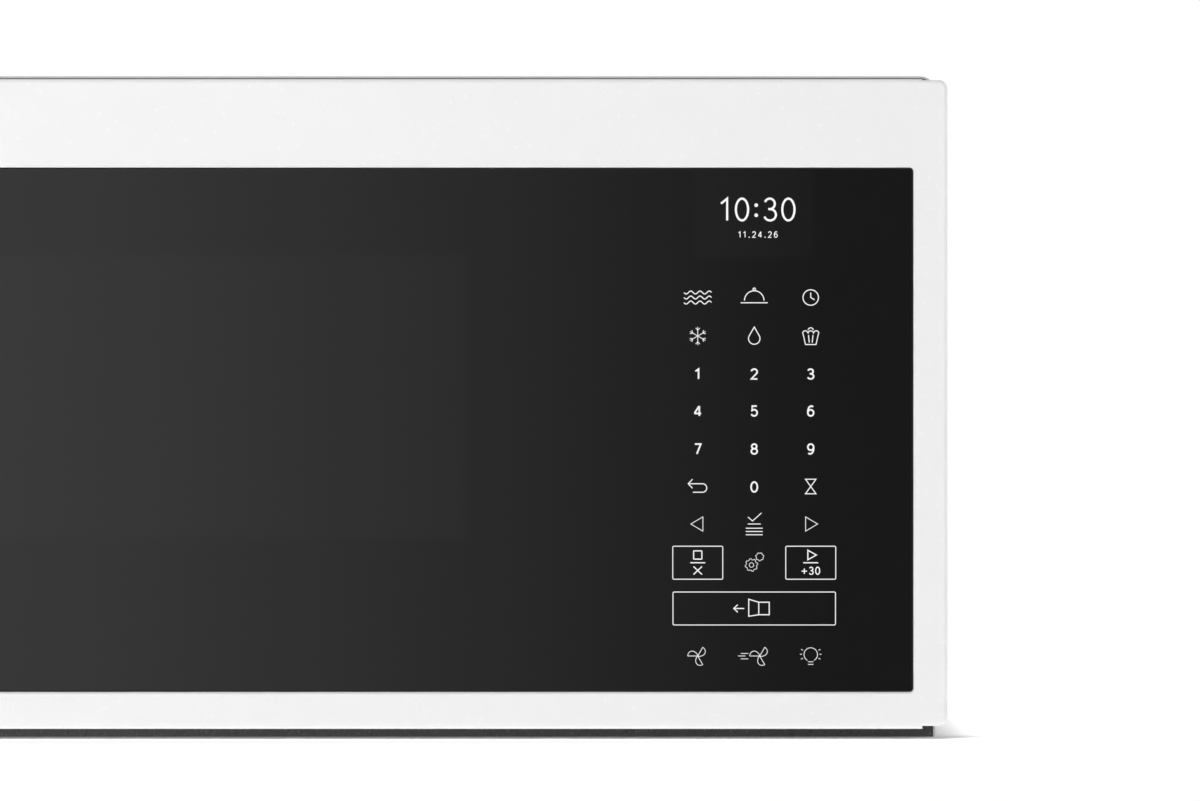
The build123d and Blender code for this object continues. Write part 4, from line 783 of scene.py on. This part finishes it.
def barParts(starts, ends, width, low, high):
    # flat bars from starts to ends, between two heights, as one (points, faces)
    run = (ends - starts) / np.linalg.norm(ends - starts, axis=1, keepdims=True)
    side = np.stack([-run[:, 1], run[:, 0]], 1) * width / 2
    points = np.empty((len(starts), 2, 4, 3))
    for row, place in enumerate((starts, ends)):
        for column, (way, height) in enumerate(((1, high), (1, low), (-1, low), (-1, high))):
            points[:, row, column, :2], points[:, row, column, 2] = place + way * side, height
    one = np.concatenate([gridFaces(2, 4, False, True), [[0, 1, 2, 3], [7, 6, 5, 4]]])
    faces = (one[None] + 8 * np.arange(len(starts))[:, None, None]).reshape(-1, 4)
    return points.reshape(-1, 3) * millimetre, faces.tolist()


def makeStrands(node, look):
    # two layers of strands that cross, on each face of the pan
    low, high = (np.array(corner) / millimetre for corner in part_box(node))
    middle = (low[0] + high[0]) / 2
    inset = np.array(look["panRim"]) + look["gap"]
    halfWidth, start, end = look["pocket"]
    pocket = ((middle - halfWidth, low[1] + start), (middle + halfWidth, low[1] + end))
    parts = []
    for near, far, way in look["layers"]:
        runs = strandRuns(low[:2] + inset, high[:2] - inset, pocket, way * look["slant"], look["pitch"],
                          look["shortest"])
        parts.append(barParts(*runs, look["width"], low[2] + near, low[2] + far))
        parts.append(barParts(*runs, look["width"], high[2] - far, high[2] - near))
    strands = meshPiece(node + "_strands", parts, finishes["filter_strands"])
    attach(strands, node)


makeStrands("grease_filter_left", filterLook)
makeStrands("grease_filter_right", filterLook)
print("filter strands made")

# latch spring, a coil in place of the plain tube, in mm
coilLook = {
    "radius": 2.35,     # of the wire's middle line
    "wire": 0.42,       # its own radius
    "turns": 7.5,
    "steps": 24,        # to a turn
    "sides": 8,
    "closed": 0.75,     # turns that lie close at each end
    "closePitch": 2.1,  # of those turns, in radii of the wire
    "travel": 4.8,      # of the latch
}


def makeCoil(look):
    # round wire along a helix: height = closePitch wire turns in the close ends, and an even rise between them
    low, high = (np.array(corner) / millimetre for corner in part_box("latch_spring"))
    middle, wire, turns, closed = (low + high) / 2, look["wire"], look["turns"], look["closed"]
    turn = np.linspace(0, turns, int(turns * look["steps"]) + 1)
    inEnds = np.minimum(turn, closed) + np.maximum(turn - turns + closed, 0)
    between = np.clip((turn - closed) / (turns - 2 * closed), 0, 1)
    pitch = look["closePitch"] * wire
    height = low[2] + wire + pitch * inEnds + between * (high[2] - low[2] - 2 * wire - 2 * pitch * closed)
    angle, side = 2 * np.pi * turn[:, None], 2 * np.pi * np.arange(look["sides"]) / look["sides"]
    out = look["radius"] + wire * np.cos(side)
    points = np.stack([middle[0] + out * np.cos(angle), middle[1] + out * np.sin(angle),
                       height[:, None] + wire * np.sin(side) + 0 * angle], -1)
    rows, columns = points.shape[:2]
    faces = [face[::-1] for face in gridFaces(rows, columns, False, True).tolist()]
    faces += [list(range(columns)), list(range((rows - 1) * columns, rows * columns))[::-1]]
    coil = meshPiece("latch_coil", [(points * millimetre, faces)], finishes["spring_steel"])
    for face in coil.data.polygons:
        face.use_smooth = len(face.vertices) == 4
    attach(coil, "door")
    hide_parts("latch_spring")
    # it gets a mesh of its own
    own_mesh(coil)


makeCoil(coilLook)
print("latch spring wound")

# cross recesses of the screws, in mm
recessLook = {
    "length": 3.4,
    "width": 0.7,
    "proud": 0.02,  # out of the head's crown, and in it
    "sunk": 0.15,
    "turn": 37.0,   # degrees from one screw to the next
    "crown": 0.02,  # from the highest point, in which a head's points are sought
    "head": 9.0,    # within which points belong to one head
    # painted shade: the dark of each cross recess's hollow
    "coating": (rgb(0.035), 0.2, 0.3, 0.005, (0.45, 0.55), 0.0),
    # node, its body, axis its heads face, which way along it
    "heads": (("case_screws", "root", 2, -1), ("case_screws", "root", 1, -1), ("door_screws", "door", 1, 1)),
}


def headCrowns(node, axis, way, look):
    # middles of the crowns that reach furthest along an axis, in mm
    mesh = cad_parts[node].data
    points = np.empty(len(mesh.vertices) * 3)
    mesh.vertices.foreach_get("co", points)
    points = points.reshape(-1, 3) / millimetre
    crowns = points[way * points[:, axis] > (way * points[:, axis]).max() - look["crown"]]
    middles = []
    while len(crowns):
        near = np.linalg.norm(crowns - crowns[0], axis=1) < look["head"]
        middles.append((crowns[near].min(0) + crowns[near].max(0)) / 2)
        crowns = crowns[~near]
    return np.array(middles)


def makeRecesses(look):
    # a dark cross in each head, of two bars sunk into its crown and standing a little out of it: painted shade
    # for the recess's hollow
    dark = makeCoating("screw_recess", *look["coating"])
    for node, body, axis, way in look["heads"]:
        crowns = headCrowns(node, axis, way, look)
        flat = crowns[:, [0, 3 - axis]]
        level = way * (way * crowns[:, axis]).max()
        parts = []
        for share in (0, 90):
            angle = np.radians(share + look["turn"] * np.arange(len(flat)))
            reach = np.stack([np.cos(angle), np.sin(angle)], 1) * look["length"] / 2
            heights = sorted((level + way * look["proud"], level - way * look["sunk"]))
            points, faces = barParts(flat - reach, flat + reach, look["width"], *heights)
            if axis == 1:           # lay the cross on an upright face: the swap of axes turns its faces round
                points, faces = points[:, [0, 2, 1]], [face[::-1] for face in faces]
            parts.append((points, faces))
        recess = meshPiece(f"{node}_recess_{'xyz'[axis]}", parts, dark)
        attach(recess, body)


makeRecesses(recessLook)
print("screw recesses made")


# strokes of the touch legends, in mm about each symbol's middle, as (path, closed)
def key(width, height, corner=0.5):
    # rectangle with rounded corners
    across, up = width / 2 - corner, height / 2 - corner
    turns = [arc((side * across, level * up), corner, start, start + 90, 4)
             for side, level, start in ((1, 1, 0), (-1, 1, 90), (-1, -1, 180), (1, -1, 270))]
    return [(np.concatenate(turns), True)]


def moved(strokes, across, up):
    # the same strokes further across and up
    return [(np.asarray(path, float) + np.array((across, up)), closed) for path, closed in strokes]


def line(*points):
    # open run from point to point
    return (np.array(points, float), False)


def outline(*points):
    # the same, closed
    return (np.array(points, float), True)


def triangle(way, width=4.8, height=5.7, shift=0.35):
    # pointing left for way -1, right for 1
    tip, back = way * (shift + width / 2), way * (shift - width / 2)
    return [outline((tip, 0), (back, height / 2), (back, -height / 2))]


def waves():
    # three rows of z = 0.6 sin 1.7 x
    x = np.linspace(-5.5, 5.5, 48)
    return [(np.stack([x, height + 0.6 * np.sin(x * 1.7)], 1), False) for height in (-2.0, 0.0, 2.0)]


def dome():
    # half a round over a plate's line, with a knob on top
    return [(arc((0, -1.2), 3.9, 0, 180, 28), False), line((-5.4, -2.1), (5.4, -2.1)),
            (ring((0, 3.3), 0.5, 14), True)]


def clockFace():
    # a round with two hands
    return [(ring((0, 0), 3.1), True), line((0, 2.0), (0, 0), (1.5, -0.9))]


def snowflake():
    # six arms, each with an arrowhead that points in
    strokes = []
    for turn in range(30, 390, 60):
        strokes.append((turnPath([(0.0, 0), (3.6, 0)], turn), False))
        strokes.append((turnPath([(3.2, 0.85), (2.3, 0), (3.2, -0.85)], turn), False))
    return strokes


def drop():
    # lower part a round bowl, closed by two straight flanks at the tip
    return [(np.concatenate([arc((0, -1.0), 2.3, 150, 390), [(0, 3.6)]]), True)]


def tub():
    # a bucket that narrows downwards, with stripes, three humps on its rim and one above
    top = np.concatenate([arc((x, 1.0), 1.1, 180, 0, 9) for x in (-2.2, 0.0, 2.2)])
    return [line((-3.1, 1.0), (-2.1, -3.4), (2.1, -3.4), (3.1, 1.0)), (top, False),
            (arc((0, 2.2), 1.1, 170, 10, 12), False),
            line((-0.9, 0.4), (-0.6, -2.6)), line((0.9, 0.4), (0.6, -2.6))]


def backArrow():
    # a hook that comes back over itself to an arrowhead
    hook = np.concatenate([[(-3.7, 1.1)], arc((1.9, -0.6), 1.7, 90, -90), [(-1.9, -2.3)]])
    return [(hook, False), line((-2.1, 2.9), (-3.8, 1.1), (-2.1, -0.7))]


def hourglass():
    # two triangles tip to tip
    return [outline((-2.1, 2.9), (2.1, 2.9), (-2.1, -2.9), (2.1, -2.9))]


def menuLines():
    # a tick over a list of three lines
    rows = [line((-3.4, z), (3.4, z)) for z in (-1.7, -3.0, -4.3)]
    return [line((-2.5, 2.8), (-0.7, 1.2), (2.9, 4.4)), line((-2.6, 0), (2.6, 0))] + rows


def stopKey():
    # a square over a line over a cross
    cross = [line((-1.7, -4.7), (1.7, -1.5)), line((-1.7, -1.5), (1.7, -4.7))]
    return [line((-3.0, 0), (3.0, 0))] + cross + moved(key(3.3, 3.3, 0.2), 0, 3.1)


def startKey():
    # a triangle over a line, over the seconds
    return [line((-3.0, 0), (3.0, 0))] + moved(triangle(1, 3.4, 3.8), 0.2, 3.1)


def openDoor():
    # a frame, its leaf swung out to the left, and an arrow
    leaf = line((1.8, 2.5), (-2.2, 3.7), (-2.2, -3.1), (1.8, -2.5))
    return [outline((1.8, 2.5), (6.0, 2.5), (6.0, -2.5), (1.8, -2.5)), leaf,
            line((-4.0, 0), (-8.2, 0)), line((-6.6, 1.5), (-8.2, 0), (-6.6, -1.5))]


def blade():
    # straight out and back in half an ellipse: share = (1 + cos(turn)) / 2 of the length,
    # 2.15 sin(turn) share^0.15 away from the straight edge
    turn = np.linspace(0, np.pi, 16)[1:-1]
    share = (1 + np.cos(turn)) / 2
    back = np.stack([4.0 * share, -2.15 * np.sin(turn) * share ** 0.15], 1)
    return np.concatenate([[(0, 0), (4.0, 0)], back])


def fan(shift=0.0):
    # three blades a third of a turn apart
    return [(turnPath(blade(), turn) + np.array((shift, 0)), True) for turn in (60, 180, 300)]


def fastFan():
    # the fan behind three lines of wind
    lines = [line((start, z), (start + 3.0, z)) for start, z in ((-5.35, 1.0), (-6.5, 0.0), (-5.4, -1.15))]
    return fan(2.2) + lines


def bulb():
    # most of a round, three rays on either side and two lines for its cap
    glass = arc((0, 0.6), 2.7, 240, -60, 28)
    rays = [(turnPath([(3.5, 0), (4.35, 0)], turn) + np.array((0, 0.7)), False)
            for turn in (-27, 0, 27, 153, 180, 207)]
    return [(glass, False), line((-1.1, -2.3), (1.1, -2.3)), line((-1.1, -3.35), (1.1, -3.35))] + rays


def gear(middle, radius, teeth):
    # radius (1 + 0.10 tanh(3 sin(teeth angle)))
    angle = np.linspace(0, 2 * np.pi, teeth * 12, endpoint=False)
    reach = radius * (1 + 0.10 * np.tanh(3 * np.sin(teeth * angle)))
    return (np.stack([middle[0] + reach * np.cos(angle), middle[1] + reach * np.sin(angle)], 1), True)


def gears():
    # a large gear with its hub, and a small one
    return [gear((-1.1, -1.2), 2.3, 8), (ring((-1.1, -1.2), 0.9, 20), True), gear((2.2, 2.1), 1.5, 7)]


legendLook = {
    "columns": (280.1, 302.7, 325.3),   # X in mm
    "raised": 0.03,                     # how far the print stands out of the glass, and in it, in mm
    "sunk": 0.05,
    "numeralHeight": 4.6,
    "numeralStroke": 0.66,
    "numeralWidth": 1.13,               # how much wider than the clock's
    # painted light: the legends glow of themselves instead of being lit by the lamps
    "glow": 0.84,
    "marks": (                          # strokes, column, mm below the door's top, stroke width
        (waves(), 0, 87.4, 0.40), (dome(), 1, 87.4, 0.40), (clockFace(), 2, 87.4, 0.40),
        (snowflake(), 0, 102.8, 0.27), (drop(), 1, 102.8, 0.40), (tub(), 2, 102.8, 0.38),
        (backArrow(), 0, 163.0, 0.40), (hourglass(), 2, 163.0, 0.38),
        (triangle(-1), 0, 178.0, 0.27), (menuLines(), 1, 178.0, 0.36), (triangle(1), 2, 178.0, 0.27),
        (key(20.0, 13.2), 0, 193.5, 0.36), (stopKey(), 0, 193.5, 0.44),
        (gears(), 1, 193.2, 0.21),
        (key(20.0, 13.2), 2, 193.5, 0.36), (startKey(), 2, 193.5, 0.44),
        (key(65.0, 13.2), 1, 211.8, 0.36), (openDoor(), 1, 211.8, 0.42),
        (fan(), 0, 230.8, 0.25), (fastFan(), 1, 230.8, 0.25), (bulb(), 2, 230.8, 0.25),
    ),
    "numerals": (                       # text, column, mm below the door's top
        ("1", 0, 118.0), ("2", 1, 118.0), ("3", 2, 118.0), ("4", 0, 132.8), ("5", 1, 132.8), ("6", 2, 132.8),
        ("7", 0, 148.0), ("8", 1, 148.0), ("9", 2, 148.0), ("0", 1, 163.2),
    ),
    "numeralGap": 0.2,                  # in heights
    "seconds": ("+30", 196.7, 3.3, 0.44, 0.30),     # text, mm below the door's top, height, stroke width, gap
}


def oval(middle, radius, steps=28):
    # closed round, as a stroke
    return (ring(middle, radius, steps), True)


def openPath(*pieces):
    # points and arcs joined into one open stroke
    return (np.concatenate([np.atleast_2d(np.asarray(piece, float)) for piece in pieces]), False)


# width and centre lines of plain numerals, one unit high
numeralPaths = {
    "0": (0.60, [oval((0.30, 0.50), (0.28, 0.50))]),
    "1": (0.42, [openPath((0.0, 0.77), (0.28, 1.0), (0.28, 0.0))]),
    "2": (0.58, [openPath(arc((0.29, 0.72), (0.26, 0.28), 168, -38), (0.03, 0.0), (0.57, 0.0))]),
    "3": (0.58, [openPath(arc((0.27, 0.76), (0.23, 0.24), 160, -90), (0.20, 0.52)),
                 openPath((0.20, 0.52), arc((0.28, 0.26), (0.27, 0.26), 90, -160))]),
    "4": (0.62, [openPath((0.45, 0.0), (0.45, 1.0)), openPath((0.43, 1.0), (0.02, 0.27)),
                 openPath((0.0, 0.25), (0.61, 0.25))]),
    "5": (0.58, [openPath((0.52, 1.0), (0.12, 1.0), (0.07, 0.52), arc((0.28, 0.32), (0.27, 0.32), 128, -155))]),
    "6": (0.58, [oval((0.29, 0.31), (0.26, 0.31)), openPath(arc((0.34, 0.42), (0.31, 0.58), 190, 58))]),
    "7": (0.56, [openPath((0.02, 1.0), (0.55, 1.0), (0.20, 0.0))]),
    "8": (0.58, [oval((0.29, 0.765), (0.22, 0.235)), oval((0.29, 0.265), (0.265, 0.265))]),
    "9": (0.58, [oval((0.29, 0.69), (0.26, 0.31)), openPath(arc((0.24, 0.58), (0.31, 0.58), 10, -122))]),
    "+": (0.76, [openPath((0.0, 0.44), (0.74, 0.44)), openPath((0.37, 0.07), (0.37, 0.81))]),
    ":": (0.22, [oval((0.11, 0.24), 0.035, 10), oval((0.11, 0.70), 0.035, 10)]),
    ".": (0.22, [oval((0.11, 0.03), 0.035, 10)]),
}


def numeral(text, height, stroke, gap, wide=1.0):
    # strokes of a row of numerals, centred, their height measured over the stroke
    scale = height - stroke
    widths = [numeralPaths[mark][0] for mark in text]
    left = -(sum(widths) + gap * (len(text) - 1)) / 2
    strokes = []
    for mark, width in zip(text, widths):
        for path, closed in numeralPaths[mark][1]:
            strokes.append(((path + np.array((left, -0.5))) * np.array((scale * wide, scale)), closed))
        left += width + gap
    return strokes


def printed(strokes, stroke, x, depth, look):
    # raised bands for strokes centred at x and at depth mm below the door's top
    parts = []
    for path, closed in strokes:
        points, faces = band(path, stroke, -look["raised"], look["sunk"], closed)
        parts.append((onGlass(points.reshape(-1, 3) + np.array([x, 0.0, -depth])), faces))
    return parts


def onGlass(points):
    # mm across, out of the glass and below the door's top, as metres in the frame
    points = np.asarray(points, float).reshape(-1, 3) * millimetre
    return points + np.array([0.0, glassFront, doorHigh.z])


printLook = {
    "base": 0.08,
    "roughness": 0.4,
    "grain": 0.5,       # mm across
    "uneven": 0.95,     # the dimmest of the glow
}


def litPrint(name, level, look=printLook):
    # print that glows of itself, a little uneven; too faint to be picked as a lamp. The clock's digits are a lit
    # display; on the legends the glow is painted light, the white of print lit by the lamps
    shader = Shader(name, {"Base Color": rgb(look["base"]), "Emission Strength": 1.0,
                           "Roughness": look["roughness"]})
    shader.material.cycles.emission_sampling = "NONE"
    tone = shader.noise(look["grain"], 1.0)
    return shader.feed(glow=shader.mix(tone, rgb(level * look["uneven"]), rgb(level)))


def makeLegends(look):
    # the marks, the numerals and the seconds, as one piece
    parts = []
    for strokes, column, depth, stroke in look["marks"]:
        parts += printed(strokes, stroke, look["columns"][column], depth, look)
    for text, column, depth in look["numerals"]:
        strokes = numeral(text, look["numeralHeight"], look["numeralStroke"], look["numeralGap"],
                          look["numeralWidth"])
        parts += printed(strokes, look["numeralStroke"], look["columns"][column], depth, look)
    text, depth, height, stroke, gap = look["seconds"]
    parts += printed(numeral(text, height, stroke, gap), stroke, look["columns"][2], depth, look)
    legends = meshPiece("touch_legends", parts, litPrint("legend_print_painted_glow", look["glow"]))
    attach(legends, "door")


clockLook = {
    "middle": 304.2,    # X in mm
    "rows": (           # text, mm below the door's top, height, stroke width, gap in heights
        ("10:30", 52.2, 9.6, 0.85, 0.24),
        ("11.24.26", 62.2, 2.6, 0.33, 0.46),
    ),
    "glow": 0.90,
}


def makeClock(look):
    # both rows of numbers, as one piece
    parts = []
    for text, depth, height, stroke, gap in look["rows"]:
        parts += printed(numeral(text, height, stroke, gap), stroke, look["middle"], depth, legendLook)
    digits = meshPiece("clock_digits", parts, litPrint("lit_digits", look["glow"]))
    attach(digits, "door")


makeLegends(legendLook)
makeClock(clockLook)
print("legends printed")
